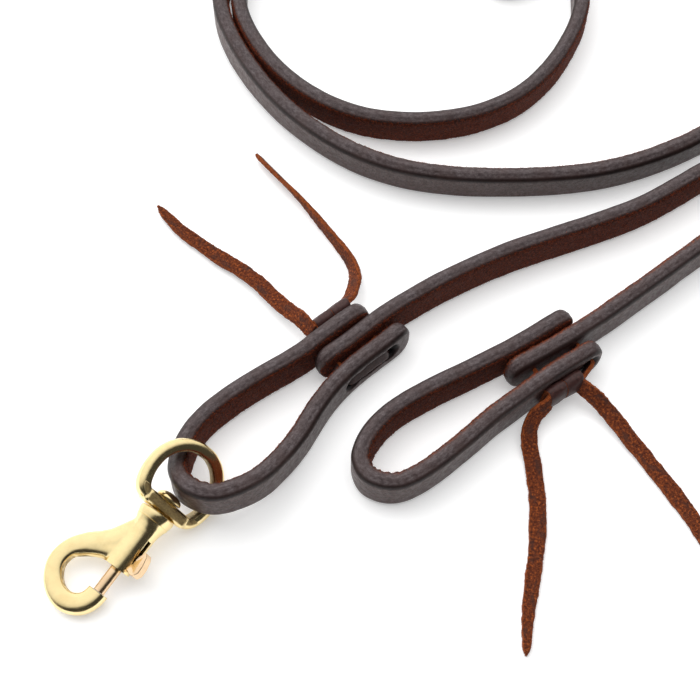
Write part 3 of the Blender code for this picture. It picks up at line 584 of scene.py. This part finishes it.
def lace_stitch(name, corners, material):
    """The lace's run through both holes and across the face between them."""
    line = rounded_run(corners, STITCH_TURN_RADIUS)
    length = run_of(line)[-1]
    rows = at_runs(line, np.linspace(0, length, int(length / 0.35) + 1))
    count = len(rows)
    section = outline(7, 3, 3)
    lean, half_thick, half_wide = (
        np.full(count, value) for value in (STITCH_LEAN, STITCH_THICKNESS / 2, STITCH_WIDTH / 2)
    )
    made = band(rows, lean, half_thick, half_wide, LACE_CORNER, LACE_CROWN, section, lace_shape(1))
    return lace(name, made, section, 1, STITCH_FIBRES, material, 5)


def knot_object(name, rings, unrolled, flesh, edge, material, closed=False):
    """A piece of a knot from its rings of points. Flesh and edge are the values round each ring."""
    faces = tube_faces(len(rings), len(rings[0]), closed)
    obj = leather_object(name, np.array(rings).reshape(-1, 3), faces, material)
    give(obj, "unrolled", np.array(unrolled).reshape(-1, 3))
    give(obj, "flesh", np.tile(flesh, len(rings)))
    give(obj, "edge", np.tile(edge, len(rings)))
    return obj


def knot_wrap(name, middle, along, off, half_depth, half_height, band_half, skew, material):
    """One drawn-up turn of lace: a flat band round an oval, a little skewed along the strap."""
    core, out = outline(9, 3, 2)
    around_steps = 72
    rings, unrolled = [], []
    half_thick = LACE_THICKNESS / 2
    for j in range(around_steps):
        angle = 2 * math.pi * j / around_steps
        c, s = math.cos(angle), math.sin(angle)
        radial = unit(np.array([c / half_depth, s / half_height]))
        base = np.array([c * (half_depth - half_thick), s * (half_height - half_thick)])
        n = core[:, 0] * (half_thick - LACE_CORNER) + out[:, 0] * LACE_CORNER
        w = core[:, 1] * (band_half - LACE_CORNER) + out[:, 1] * LACE_CORNER
        crown = 0.22 * (1 - (w / band_half) ** 2) * (n > 0)
        place = np.stack([np.full(len(n), angle * 3.2), n, w], axis=1)
        wobble = 0.12 * noise(place, 1.6, 21) + 0.06 * noise(place, 0.6, 22)
        n = n + crown + wobble * out[:, 0] - 0.12
        w = w + 0.14 * noise(place, 1.1, 23) * out[:, 1]
        depth = base[0] + radial[0] * n
        height = base[1] + radial[1] * n
        run = w + skew * s
        rings.append(
            np.asarray(middle) + run[:, None] * along + depth[:, None] * off
            + height[:, None] * np.array((0, 0, 1.0))
        )
        unrolled.append(place)
    flesh = smooth_step(-out[:, 0], -0.1, 0.5)
    return knot_object(name, rings, unrolled, flesh, np.abs(out[:, 1]), material, closed=True)


def knot_core(name, middle, along, off, half_depth, half_height, half_length, material):
    """The lace's crossing inside the wraps, which fills their oval and shows at both ends."""
    core, out = outline(7, 3, 3)
    rings, unrolled = [], []
    for x in np.linspace(0.2 - half_length, half_length - 0.2, 15):
        close = math.sqrt(max(0.0, 1 - (abs(x) / half_length) ** 8))
        n = (core[:, 0] * (half_depth - 2.0) + out[:, 0] * 0.7) * close
        w = (core[:, 1] * (half_height - 2.0) + out[:, 1] * 0.7) * close
        place = np.stack([np.full(len(n), x), n, w], axis=1)
        n = n + 0.12 * noise(place, 1.2, 25)
        rings.append(np.asarray(middle) + x * along + n[:, None] * off + w[:, None] * np.array((0, 0, 1.0)))
        unrolled.append(place)
    return knot_object(name, rings, unrolled, np.ones(len(core)), np.zeros(len(core)), material)


# ---- materials
def set_stops(elements, stops):
    """Sets a colour ramp's elements to the (place, colour) stops."""
    while len(elements) < len(stops):
        elements.new(1.0)
    for element, (place, colour) in zip(elements, stops):
        element.position = place
        element.color = (*colour, 1.0)


class Graph:
    """A material's node tree, with one method for each kind of node that the materials use."""

    def __init__(self, name):
        self.material = bpy.data.materials.new(name)
        self.material.use_nodes = True
        self.tree = self.material.node_tree
        self.shader = self.tree.nodes["Principled BSDF"]

    def put(self, socket, value):
        if isinstance(value, bpy.types.NodeSocket):
            self.tree.links.new(value, socket)
        elif value is not None:
            socket.default_value = value

    def add(self, kind, output, inputs, **settings):
        """Adds a node with these settings and inputs, by name or number, and returns one output."""
        node = self.tree.nodes.new("ShaderNode" + kind)
        for name, value in settings.items():
            setattr(node, name, value)
        for name, value in inputs.items():
            self.put(node.inputs[name], value)
        return node.outputs[output]

    def attribute(self, name, output="Fac"):
        return self.add("Attribute", output, {}, attribute_name=name)

    def object_place(self):
        return self.add("TexCoord", "Object", {})

    def stretched(self, vector, scale):
        return self.add("Mapping", "Vector", {"Vector": vector, "Scale": scale})

    def noise(self, vector, scale, detail=3.0, roughness=0.55):
        inputs = {"Vector": vector, "Scale": scale, "Detail": detail, "Roughness": roughness}
        return self.add("TexNoise", "Fac", inputs)

    def ramp(self, value, stops):
        node = self.tree.nodes.new("ShaderNodeValToRGB")
        set_stops(node.color_ramp.elements, stops)
        self.put(node.inputs["Fac"], value)
        return node.outputs["Color"]

    def level(self, value, low, high, to_low=0.0, to_high=1.0):
        inputs = {"Value": value, "From Min": low, "From Max": high, "To Min": to_low, "To Max": to_high}
        return self.add("MapRange", "Result", inputs, interpolation_type="SMOOTHSTEP")

    def maths(self, operation, a, b):
        return self.add("Math", "Value", {0: a, 1: b}, operation=operation)

    def mixed(self, factor, a, b):
        a, b = (c if isinstance(c, bpy.types.NodeSocket) else (*c, 1.0) for c in (a, b))
        return self.add("Mix", 2, {0: factor, 6: a, 7: b}, data_type="RGBA")

    def bump(self, height, strength, distance, before=None):
        inputs = {"Strength": strength, "Distance": distance, "Height": height, "Normal": before}
        return self.add("Bump", "Normal", inputs)

    def finish(self, colour, roughness, normal=None, **constants):
        self.put(self.shader.inputs["Base Color"], colour)
        self.put(self.shader.inputs["Roughness"], roughness)
        self.put(self.shader.inputs["Normal"], normal)
        for name, value in constants.items():
            self.shader.inputs[name.replace("_", " ")].default_value = value
        return self.material


def harness_leather():
    """Waxed dark brown strap: smooth grain face, burnished edge with a painted sheen and dark corners that are
    part painted shade, suede flesh face.
    """
    g = Graph("harness_leather")
    place = g.attribute("unrolled", "Vector")
    flesh = g.attribute("flesh")
    edge = g.attribute("edge")
    patches = g.noise(place, 0.16, 4.0)
    speckle = g.noise(place, 1.7, 5.0, 0.75)
    streaks = g.noise(g.stretched(place, (0.75, 1.2, 1.2)), 1.0, 6.0, 0.75)
    grain_stops = [(0.32, (0.024, 0.011, 0.011)), (0.52, (0.066, 0.036, 0.033)), (0.74, (0.14, 0.086, 0.08))]
    grain = g.ramp(speckle, grain_stops)
    # The edge's streaky light, bluish-grey tone: partly the burnished edge's own colour, partly a painted
    # sheen along the middle of the rounded edge.
    edge_stops = [(0.34, (0.023, 0.014, 0.014)), (0.52, (0.068, 0.05, 0.051)), (0.75, (0.14, 0.118, 0.122))]
    edge_tone_and_sheen = g.ramp(streaks, edge_stops)
    on_edge = g.level(edge, 0.72, 0.97)
    # Dark bands where the edge rounds into the faces: partly darker edge dye, partly painted shade where the
    # sheen falls off the rounded corners.
    corner = g.maths("MULTIPLY", g.level(edge, 0.04, 0.35), g.level(edge, 0.99, 0.72))
    colour = g.mixed(on_edge, grain, edge_tone_and_sheen)
    colour = g.mixed(g.maths("MULTIPLY", corner, 0.8), colour, (0.007, 0.005, 0.005))
    colour = g.mixed(g.level(patches, 0.35, 0.75, 0.0, 0.4), colour, (0.045, 0.021, 0.017))
    nap = g.noise(place, 1.5, 6.0, 0.8)
    dark, brown, bright = (0.016, 0.0032, 0.0016), (0.076, 0.0145, 0.0055), (0.3, 0.052, 0.013)
    suede = g.ramp(nap, [(0.33, dark), (0.5, brown), (0.7, bright)])
    ragged = g.maths("ADD", flesh, g.level(g.noise(place, 1.4, 4.0, 0.7), 0.3, 0.7, -0.4, 0.4))
    is_flesh = g.level(ragged, 0.35, 0.65)
    colour = g.mixed(is_flesh, colour, suede)
    # Orange fibres along the flesh corners: real fuzz, shown only where the strap's mask puts it, on corners
    # that face the light; the limit is painted light and shade.
    tufts = g.ramp(nap, [(0.40, (0.03, 0.007, 0.003)), (0.62, (0.27, 0.058, 0.014))])
    lit_fuzz = g.maths("MULTIPLY", g.attribute("lit_fuzz"), g.level(g.noise(place, 1.1, 5.0, 0.8), 0.38, 0.56))
    colour = g.mixed(lit_fuzz, colour, tufts)
    colour = g.mixed(g.attribute("fuzz"), colour, (0.30, 0.062, 0.018))
    # Painted shade: near black inside the lace holes and the groove.
    colour = g.mixed(g.attribute("pit_shade"), colour, (0.003, 0.002, 0.002))
    smooth_rough = g.level(g.noise(place, 0.9, 4.0), 0.3, 0.7, 0.36, 0.56)
    rough = g.maths("ADD", smooth_rough, g.maths("MULTIPLY", is_flesh, 0.5))
    pores = g.level(g.add("TexVoronoi", "Distance", {"Vector": place, "Scale": 1.9}), 0.0, 0.5)
    creases = g.noise(place, 1.1, 5.0, 0.6)
    normal = g.bump(g.maths("ADD", g.maths("MULTIPLY", pores, 0.3), creases), 0.35, 0.00016)
    normal = g.bump(g.maths("MULTIPLY", nap, is_flesh), 0.9, 0.0006, normal)
    return g.finish(colour, rough, normal, Specular_IOR_Level=0.34)


def latigo_lace():
    """Lace: waxy purple-brown grain side, rough orange-brown flesh side and cut edges."""
    g = Graph("latigo_lace")
    place = g.attribute("unrolled", "Vector")
    flesh = g.attribute("flesh")
    edge = g.attribute("edge")
    speckle = g.noise(place, 1.2, 4.0, 0.6)
    grain = g.ramp(speckle, [(0.3, (0.026, 0.010, 0.009)), (0.7, (0.060, 0.024, 0.021))])
    nap = g.noise(place, 1.3, 6.0, 0.8)
    suede_stops = [(0.36, (0.03, 0.007, 0.004)), (0.52, (0.15, 0.033, 0.011)), (0.66, (0.58, 0.14, 0.026))]
    suede = g.ramp(nap, suede_stops)
    worn = g.level(g.noise(g.stretched(place, (0.5, 1.0, 1.0)), 0.5, 3.0), 0.5, 0.7, 0.0, 0.7)
    suede = g.mixed(worn, suede, (0.060, 0.026, 0.020))
    fringe = g.ramp(nap, [(0.36, (0.075, 0.019, 0.008)), (0.62, (0.40, 0.092, 0.020))])
    suede = g.mixed(g.level(edge, 0.1, 0.8), suede, fringe)
    ragged = g.maths("ADD", flesh, g.level(g.noise(place, 1.6, 4.0, 0.7), 0.3, 0.7, -0.35, 0.35))
    is_flesh = g.level(g.maths("MAXIMUM", ragged, g.level(edge, 0.45, 0.9)), 0.35, 0.65)
    colour = g.mixed(is_flesh, grain, suede)
    colour = g.mixed(g.attribute("fuzz"), colour, (0.34, 0.085, 0.022))
    rough = g.level(is_flesh, 0.0, 1.0, 0.42, 0.95)
    normal = g.bump(g.noise(place, 1.3, 4.0), 0.35, 0.00018)
    normal = g.bump(g.maths("MULTIPLY", nap, is_flesh), 1.0, 0.0007, normal)
    return g.finish(colour, rough, normal, Specular_IOR_Level=0.35)


def brass(name, colour, dark):
    """Tumbled cast brass: bright where handled, dull and pitted where the attribute cast says so."""
    g = Graph(name)
    place = g.object_place()
    cast = g.attribute("cast")
    haze = g.noise(place, 260.0, 4.0, 0.6)
    pits = g.noise(place, 1500.0, 5.0, 0.75)
    tone = g.mixed(g.level(haze, 0.35, 0.8, 0.0, 0.35), colour, dark)
    dull = g.ramp(pits, [(0.3, (0.16, 0.10, 0.045)), (0.7, (0.55, 0.40, 0.18))])
    tone = g.mixed(cast, tone, dull)
    rough = g.maths("ADD", g.level(haze, 0.3, 0.75, 0.14, 0.27), g.maths("MULTIPLY", cast, 0.32))
    normal = g.bump(g.noise(place, 420.0, 3.0), 0.10, 0.0004)
    normal = g.bump(g.maths("MULTIPLY", pits, cast), 0.8, 0.0003, normal)
    return g.finish(tone, rough, normal, Metallic=1.0)


def spring_steel():
    g = Graph("spring_steel")
    place = g.object_place()
    rough = g.level(g.noise(place, 900.0, 2.0), 0.3, 0.7, 0.25, 0.45)
    return g.finish((0.58, 0.58, 0.60, 1.0), rough, None, Metallic=1.0)


def paper_floor():
    g = Graph("studio_floor")
    g.shader.inputs["Emission Color"].default_value = (1.0, 1.0, 1.0, 1.0)
    return g.finish((0.78, 0.78, 0.78, 1.0), 0.9, None, Emission_Strength=0.36, Specular_IOR_Level=0.0)


# ---- brass pieces
def snap_matrix(roll=0.0):
    """From the snap's own millimetres to the frame's metres."""
    turn = (
        Matrix.Rotation(math.radians(SNAP_HEADING), 4, "Z")
        @ Matrix.Rotation(math.radians(-SNAP_PITCH), 4, "Y")
        @ Matrix.Rotation(math.radians(roll), 4, "X")
    )
    place = Vector(on_table(SNAP_NOSE))
    return Matrix.Translation(place) @ turn @ Matrix.Scale(MM, 4)


def turned(name, profile, steps=64):
    """A solid turned about +X from (x, radius) points that start and end on the axis."""
    points = [(profile[0][0], 0.0, 0.0)]
    for x, r in profile[1:-1]:
        for step in range(steps):
            angle = 2 * math.pi * step / steps
            points.append((x, r * math.cos(angle), r * math.sin(angle)))
    points.append((profile[-1][0], 0.0, 0.0))
    rings = len(profile) - 2
    last = len(points) - 1
    faces = []
    for i in range(steps):
        k = (i + 1) % steps
        faces.append((0, 1 + i, 1 + k))
        faces.append((last, 1 + (rings - 1) * steps + k, 1 + (rings - 1) * steps + i))
        for j in range(rings - 1):
            a, b = 1 + j * steps, 1 + (j + 1) * steps
            faces.append((a + i, b + i, b + k, a + k))
    return raw_object(name, points, faces)


def swept(name, path, steps, section):
    """A bar along the path in the snap's plane.

    section(k, c, s) gives ring k's reach to the left of the run and up, at a cosine and sine round it.
    """
    ahead = units(np.gradient(path, axis=0))
    left = np.stack([-ahead[:, 1], ahead[:, 0]], axis=1)
    points = []
    for k in range(len(path)):
        for step in range(steps):
            angle = 2 * math.pi * step / steps
            u, v = section(k, math.cos(angle), math.sin(angle))
            points.append((path[k][0] + left[k][0] * u, path[k][1] + left[k][1] * u, v))
    return raw_object(name, points, tube_faces(len(path), steps))


def swept_oval(name, line, flat, taper=0.0):
    """A bar along (x, y, radius) points, its section a soft-cornered oval.

    With a taper, the side on the left of the run thins to a blunt edge, as a casting's parting side does.
    """

    def section(k, c, s):
        power = 5.0 if taper and c > 0 else 2.4
        u = math.copysign(abs(c) ** (2 / power), c)
        v = math.copysign(abs(s) ** (2 / power), s) * (1 - taper * max(u, 0.0) ** 2)
        return u * line[k, 2], v * line[k, 2] * flat

    return swept(name, line[:, :2], 40, section)


def block(name, low, high):
    points = [(x, y, z) for x in (low[0], high[0]) for y in (low[1], high[1]) for z in (low[2], high[2])]
    faces = [(0, 1, 3, 2), (4, 6, 7, 5), (0, 4, 5, 1), (2, 3, 7, 6), (0, 2, 6, 4), (1, 5, 7, 3)]
    return raw_object(name, points, faces)


def apply_modifiers(obj):
    graph = bpy.context.evaluated_depsgraph_get()
    mesh = bpy.data.meshes.new_from_object(obj.evaluated_get(graph))
    old = obj.data
    obj.modifiers.clear()
    obj.data = mesh
    bpy.data.meshes.remove(old)


def add_boolean(obj, other, operation):
    modifier = obj.modifiers.new(operation.lower(), "BOOLEAN")
    modifier.operation = operation
    modifier.object = other
    modifier.solver = "MANIFOLD"


def settle_shape(obj, used_up):
    """Applies the modifiers and deletes the objects that they used."""
    bpy.context.view_layer.update()
    apply_modifiers(obj)
    for other in used_up:
        bpy.data.objects.remove(other, do_unlink=True)


def cut_away(obj, cutter):
    add_boolean(obj, cutter, "DIFFERENCE")
    settle_shape(obj, [cutter])


def cast_together(obj, others, voxel, rounds):
    """Runs the pieces together into one casting with soft fillets."""
    for other in others:
        add_boolean(obj, other, "UNION")
    remesh = obj.modifiers.new("cast", "REMESH")
    remesh.mode = "VOXEL"
    remesh.voxel_size = voxel
    soften = obj.modifiers.new("soften", "SMOOTH")
    soften.factor = 0.6
    soften.iterations = rounds
    settle_shape(obj, others)


def place_brass(obj, material, cast=None, roll=0.0):
    """Moves a piece from the snap's own frame into place. cast(points, normals) says how dull it is."""
    mesh = obj.data
    points = np.array([v.co for v in mesh.vertices], float)
    normals = np.array([v.normal for v in mesh.vertices], float)
    give(obj, "cast", cast(points, normals) if cast else np.zeros(len(points)))
    mesh.transform(snap_matrix(roll))
    mesh.materials.clear()
    mesh.materials.append(material)
    mesh.shade_smooth()
    mesh.set_sharp_from_angle(angle=SHARP_ANGLE)
    mesh.update()
    return obj


def make_snap_body(material):
    barrel = turned(
        "brass_snap_body",
        [
            (-1.2, 0), (-1.2, 3.9), (0, 4.05), (4, 4), (8, 3.95), (11, 3.95), (13, 4.1), (14.6, 4.5),
            (16, 5.2), (17.2, 5.8), (17.2, 0),
        ],
    )
    bars = [
        swept_oval("hook_bar", spline_through(HOOK_ROUTE, 10) + (0, 0, CAST_SPARE), 0.84, 0.12),
        swept_oval("shoulder", spline_through(SHOULDER_ROUTE, 10), 0.86),
        swept_oval("web", spline_through(WEB_ROUTE, 10), 0.86),
    ]
    cast_together(barrel, bars, *SNAP_CASTING)
    cut_away(barrel, block("tip_cut", (HOOK_TIP, -6.0, -5.0), (-0.02, 4.4, 5.0)))
    cut_away(barrel, block("collar_cut", (15.75, -8.0, -8.0), (19.0, 8.0, 8.0)))
    bore = [(-0.6, 0.0), (-0.6, BORE_RADIUS), (15.0, BORE_RADIUS), (15.0, 0.0)]
    cut_away(barrel, turned("bore", bore, 40))
    slot = block("slot", (SLOT_SPAN[0], -8.0, -SLOT_HALF), (SLOT_SPAN[1], -1.0, SLOT_HALF))
    slot.data.transform(Matrix.Rotation(math.radians(LUG_TURN), 4, "X"))
    cut_away(barrel, slot)
    return place_brass(barrel, material, hook_cast)


def hook_cast(points, normals):
    """The unpolished seam along the hook's inner side, and the hook's end."""
    heart = np.array((-5.5, 7.6, 0.0)) - points
    reach = np.linalg.norm(heart[:, :2], axis=1)
    inward = (normals * heart).sum(1) / np.maximum(reach, 1e-6)
    seam = smooth_step(inward, 0.80, 0.97) * (reach < 9.5) * (points[:, 0] < 2.0)
    tip_face = (np.abs(points[:, 0] - HOOK_TIP) < 0.3) * smooth_step(normals[:, 0], 0.3, 0.8)
    return np.clip(np.maximum(seam, tip_face) * (0.8 + 0.5 * noise(points, 0.8, 31)), 0, 1)


def make_swivel_post(material):
    dome = [(23.2 + 1.9 * math.sin(a), 3.8 * math.cos(a)) for a in np.linspace(0, math.pi / 2, 9)[:-1]]
    post = turned(
        "brass_swivel_post",
        [
            (14.4, 0.0), (14.4, 1.7), (15.76, 1.7), (15.77, 4.9), (16.5, 5.15), (17.2, 5.36), (17.8, 5.4),
            (18.25, 5.3), (18.4, 5.0), (18.3, 4.7), (18.0, 4.4), (18.0, 2.2), (22.85, 2.2), (22.9, 3.4),
            (23.0, 3.68), *dome, (25.1, 0.0),
        ],
    )

    def cast(points, normals):
        return smooth_step(points[:, 0], 18.25, 18.45) * (1 - smooth_step(points[:, 0], 22.9, 23.1)) * 0.7

    return place_brass(post, material, cast)


def make_swivel_eye(material):
    half = spline_through(EYE_ROUTE, 6)
    ring = np.vstack([half, (half[:-1] * (1, -1))[::-1]])

    def section(k, c, s):
        foot = 1 - float(smooth_step(ring[k][0], PLATE[0], PLATE[1] + 8.0))
        u = 2.05 * c if c > 0 else -1.65 * abs(c) ** 0.3
        return u, (2.2 + 0.8 * foot) * math.copysign(abs(s) ** 0.8, s)

    wire = swept("eye_wire", ring, 28, section)
    plate = block(
        "brass_swivel_eye",
        (PLATE[0], -PLATE_HALF_LENGTH, -PLATE_HALF_WIDTH),
        (PLATE[1], PLATE_HALF_LENGTH, PLATE_HALF_WIDTH),
    )
    edges = plate.modifiers.new("edges", "BEVEL")
    edges.width = 1.2
    edges.segments = 4
    cast_together(plate, [wire], *EYE_CASTING)
    hole = turned("plate_hole", [(18.0, 0.0), (18.0, 2.5), (24.0, 2.5), (24.0, 0.0)], 40)
    cut_away(plate, hole)

    def cast(points, normals):
        flat_face = smooth_step(np.abs(normals[:, 2]), 0.9, 0.99) * (points[:, 0] < PLATE[1] + 0.3)
        inside = smooth_step(-(normals[:, :2] * (points[:, :2] - (29.0, 0.0))).sum(1), 3.0, 8.0)
        return np.clip(flat_face * 0.9 + 0.35 * inside * (points[:, 0] > PLATE[1]), 0, 1)

    return place_brass(plate, material, cast, EYE_ROLL)


def make_bolt(material):
    r = BOLT_RADIUS
    profile = [(-7.8, 0.0), (-7.8, r - 0.1), (-7.7, r), (3.2, r), (3.4, r - 0.1), (3.5, r - 0.4), (3.5, 0.0)]
    return place_brass(turned("brass_snap_bolt", profile, 40), material)


def make_spring(material):
    """The bolt's return spring, a wire coil built at one fixed length."""
    start, end = SPRING_SPAN[0] + SPRING_WIRE, SPRING_SPAN[1] - SPRING_WIRE
    turns = np.linspace(0, 2 * math.pi * SPRING_TURNS, SPRING_TURNS * 24 + 1)
    pitch = (end - start) / turns[-1]
    points = []
    for angle in turns:
        out = np.array((0.0, math.cos(angle), math.sin(angle)))
        ahead = np.array((pitch, -SPRING_RADIUS * math.sin(angle), SPRING_RADIUS * math.cos(angle)))
        side = np.cross(unit(ahead), out)
        centre = np.array((start + pitch * angle, 0.0, 0.0)) + SPRING_RADIUS * out
        for k in range(8):
            c, s = math.cos(math.pi * k / 4), math.sin(math.pi * k / 4)
            points.append(centre + SPRING_WIRE * (c * out + s * side))
    return place_brass(raw_object("steel_bolt_spring", points, tube_faces(len(turns), 8)), material)


def make_thumb_lug(material):
    """A fin on a stem: thin where it stands through the slot, wide and rounded where the thumb pulls."""
    fin = [
        (1.3, -2), (3, -2), (3.3, -4), (5.2, -4.8), (7.5, -5.9), (7.8, -6.6), (6.6, -7.5), (4.2, -8.2),
        (2, -8.3), (0.7, -7.4), (0.5, -6), (1.2, -4.2),
    ]
    count = len(fin)
    points = [(x, y, side * (0.62 if y > -4.1 else 1.35)) for side in (-1, 1) for x, y in fin]
    faces = [tuple(range(count)), tuple(range(count, 2 * count))]
    faces += [(i, (i + 1) % count, count + (i + 1) % count, count + i) for i in range(count)]
    lug = raw_object("brass_thumb_lug", points, faces)
    cast_together(lug, [], *LUG_CASTING)
    lug.data.transform(Matrix.Rotation(math.radians(LUG_TURN), 4, "X"))
    return place_brass(lug, material)


def settle(piece, body, slot, *nodes):
    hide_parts(*nodes)
    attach(piece, body)


def tie_pits(tie, layer):
    """Both lace holes in one leg's grain face, and the groove that the lace has pressed between them."""
    places = [across_layers(tie, i, layer) for i in (0, 1)]
    return [(place, *HOLE_PIT) for place in places] + [((places[0] + places[1]) / 2, *LACE_GROOVE)]


def make_straps(leather):
    snap_pits = tie_pits(SNAP_TIE, LAYER_PITCH)
    free_pits = tie_pits(FREE_TIE, -LAYER_PITCH) + tie_pits(FREE_TIE, LAYER_PITCH)[:2]
    main, main_line = strap("main_strap", MAIN_ROUTE, 1, MAIN_MESH, [], MAIN_LIT_FUZZ_FROM, leather)
    snap_loop, _ = strap("snap_loop", SNAP_LOOP_ROUTE, -1, LOOP_MESH, snap_pits, SNAP_LIT_FUZZ_FROM, leather)
    free_loop, _ = strap("free_loop", FREE_LOOP_ROUTE, -1, LOOP_MESH, free_pits, FREE_LIT_FUZZ_FROM, leather)
    settle(main, "leather", "strap_leather", "main_strap")
    settle(snap_loop, "leather", "strap_leather", "snap_loop_strap")
    settle(free_loop, "leather", "strap_leather", "free_loop_strap")


def stitch_corners(tie, start, depths, sag=0.0):
    """From the knot, down through one hole, across the leg's face and back through the other hole."""
    places = zip((0, 0, 1, 1), depths, (0.0, sag, sag, 0.0))
    return [np.array(start)] + [across_layers(tie, i, depth) - (0, 0, drop) for i, depth, drop in places]


def make_laces(lace):
    stitches = {
        "snap": stitch_corners(SNAP_TIE, (-2.6, 9.6, 6.8), (-10.2, 8.4, 8.5, -9.4), BRIDGE_SAG),
        "free": stitch_corners(FREE_TIE, (67.2, -14.2, 6.6), (10.0, -8.3, -8.3, 10.6)),
    }
    for name, corners in stitches.items():
        piece = lace_stitch(f"lace_{name}_stitch", corners, lace)
        settle(piece, "leather", "lace_leather", f"{name}_lace_stitch")
    # Each tie's knot, its side of the layers, and how far it is drawn in and slid along
    ties = (("snap", SNAP_TIE, SNAP_KNOT, -1.0, 1.7, 1.6), ("free", FREE_TIE, FREE_KNOT, 1.0, -1.6, 0.2))
    for name, (_, through), (centre, half), way, drawn_in, slid in ties:
        along = np.array((-through[1], through[0], 0.0))
        half_length, half_depth, half_height = np.array(half) + KNOT_SWELL
        centre = np.array(centre) + through * drawn_in + along * slid
        off = through * way
        for index, side in enumerate((-1, 1)):
            wrap = knot_wrap(
                f"lace_{name}_knot_{index + 1}", centre + along * side * half_length / 2, along, off,
                half_depth + 0.2 * index, half_height - 0.15 * index, half_length / 2 + 0.05, 0.7, lace,
            )
            settle(wrap, "leather", "lace_leather", f"{name}_lace_knot")
        core = knot_core(
            f"lace_{name}_knot_core", centre, along, off, half_depth, half_height, half_length, lace
        )
        settle(core, "leather", "lace_leather", f"{name}_lace_knot")
    # Each tail: its node, its first row inside the knot, its route, and which way its flesh side faces
    tails = (
        ("snap_lace_tail_left", (-11.0, 1.7, 7.7, 40, 0.95), SNAP_TAIL_LEFT, -1),
        ("snap_lace_tail_right", (-3.2, 9.4, 6.8, 35, 1.0), SNAP_TAIL_RIGHT, -1),
        ("free_lace_tail_left", (58.9, -19.2, 7.6, 5, 0.95), FREE_TAIL_LEFT, -1),
        ("free_lace_tail_right", (66.8, -15.0, 6.6, -30, 1.0), FREE_TAIL_RIGHT, 1),
    )
    for node, in_knot, route, flesh_side in tails:
        piece, line = lace_tail(node.replace("lace_tail", "tail"), [in_knot, *route], flesh_side, lace)
        settle(piece, "leather", "lace_leather", node)


def make_snap():
    cast_brass = brass("cast_brass", (0.93, 0.755, 0.40), (0.80, 0.58, 0.26))
    bolt_brass = brass("bolt_brass", (0.84, 0.61, 0.38), (0.62, 0.40, 0.22))
    settle(make_snap_body(cast_brass), "snap", "cast_brass", "snap_body")
    settle(make_swivel_post(cast_brass), "snap", "cast_brass", "swivel_post")
    settle(make_swivel_eye(cast_brass), "eye", "cast_brass", "swivel_eye")
    settle(make_bolt(bolt_brass), "bolt", "bolt_brass", "snap_bolt")
    settle(make_thumb_lug(bolt_brass), "bolt", "bolt_brass", "thumb_lug")
    spring = make_spring(spring_steel())
    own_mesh(spring)
    settle(spring, "snap", "spring_steel", "bolt_spring")


# ---- studio
def aimed(name, data, place, aim):
    obj = bpy.data.objects.new(name, data)
    bpy.context.scene.collection.objects.link(obj)
    obj.location = place
    obj.rotation_mode = "QUATERNION"
    obj.rotation_quaternion = (Vector(aim) - obj.location).to_track_quat("-Z", "Y")
    return obj


def make_camera():
    lens = bpy.data.cameras.new("camera")
    lens.sensor_width = 36.0
    lens.lens = CAMERA_LENS
    lens.clip_start = 0.01
    lens.clip_end = 20.0
    camera = aimed("camera", lens, on_table(CAMERA_PLACE), on_table((0.0, 0.0, 0.0)))
    bpy.context.scene.camera = camera


def area_light(name, place, size, energy):
    """A square softbox that faces the frame's origin. The brass doesn't mirror it, only the tent."""
    lamp = bpy.data.lights.new(name, "AREA")
    lamp.shape = "RECTANGLE"
    lamp.size = lamp.size_y = size
    lamp.energy = energy
    aimed(name, lamp, place, (0.0, 0.0, 0.0)).visible_glossy = False


def make_studio():
    corners = [(x * FLOOR_HALF, y * FLOOR_HALF, 0) for x, y in ((-1, -1), (1, -1), (1, 1), (-1, 1))]
    floor = raw_object("studio_floor", corners, [(0, 1, 2, 3)])
    floor.data.materials.append(paper_floor())
    world = bpy.data.worlds.new("studio")
    bpy.context.scene.world = world
    world.use_nodes = True
    tree = world.node_tree
    background = tree.nodes["Background"]
    way = tree.nodes.new("ShaderNodeTexCoord").outputs["Generated"]
    toward = tree.nodes.new("ShaderNodeVectorMath")
    toward.operation = "DOT_PRODUCT"
    toward.inputs[1].default_value = BRIGHT_SIDE
    tree.links.new(way, toward.inputs[0])
    tent = tree.nodes.new("ShaderNodeValToRGB")
    set_stops(tent.color_ramp.elements, [(place, (grey, grey, grey)) for place, grey in TENT_GREYS])
    tree.links.new(toward.outputs["Value"], tent.inputs["Fac"])
    tree.links.new(tent.outputs["Color"], background.inputs["Color"])
    background.inputs["Strength"].default_value = TENT_STRENGTH
    area_light("key_softbox", *KEY_SOFTBOX)
    area_light("top_softbox", *TOP_SOFTBOX)
    bpy.context.scene.view_settings.view_transform = "Standard"


def main():
    make_camera()
    make_studio()
    make_straps(harness_leather())
    make_laces(latigo_lace())
    make_snap()


main()
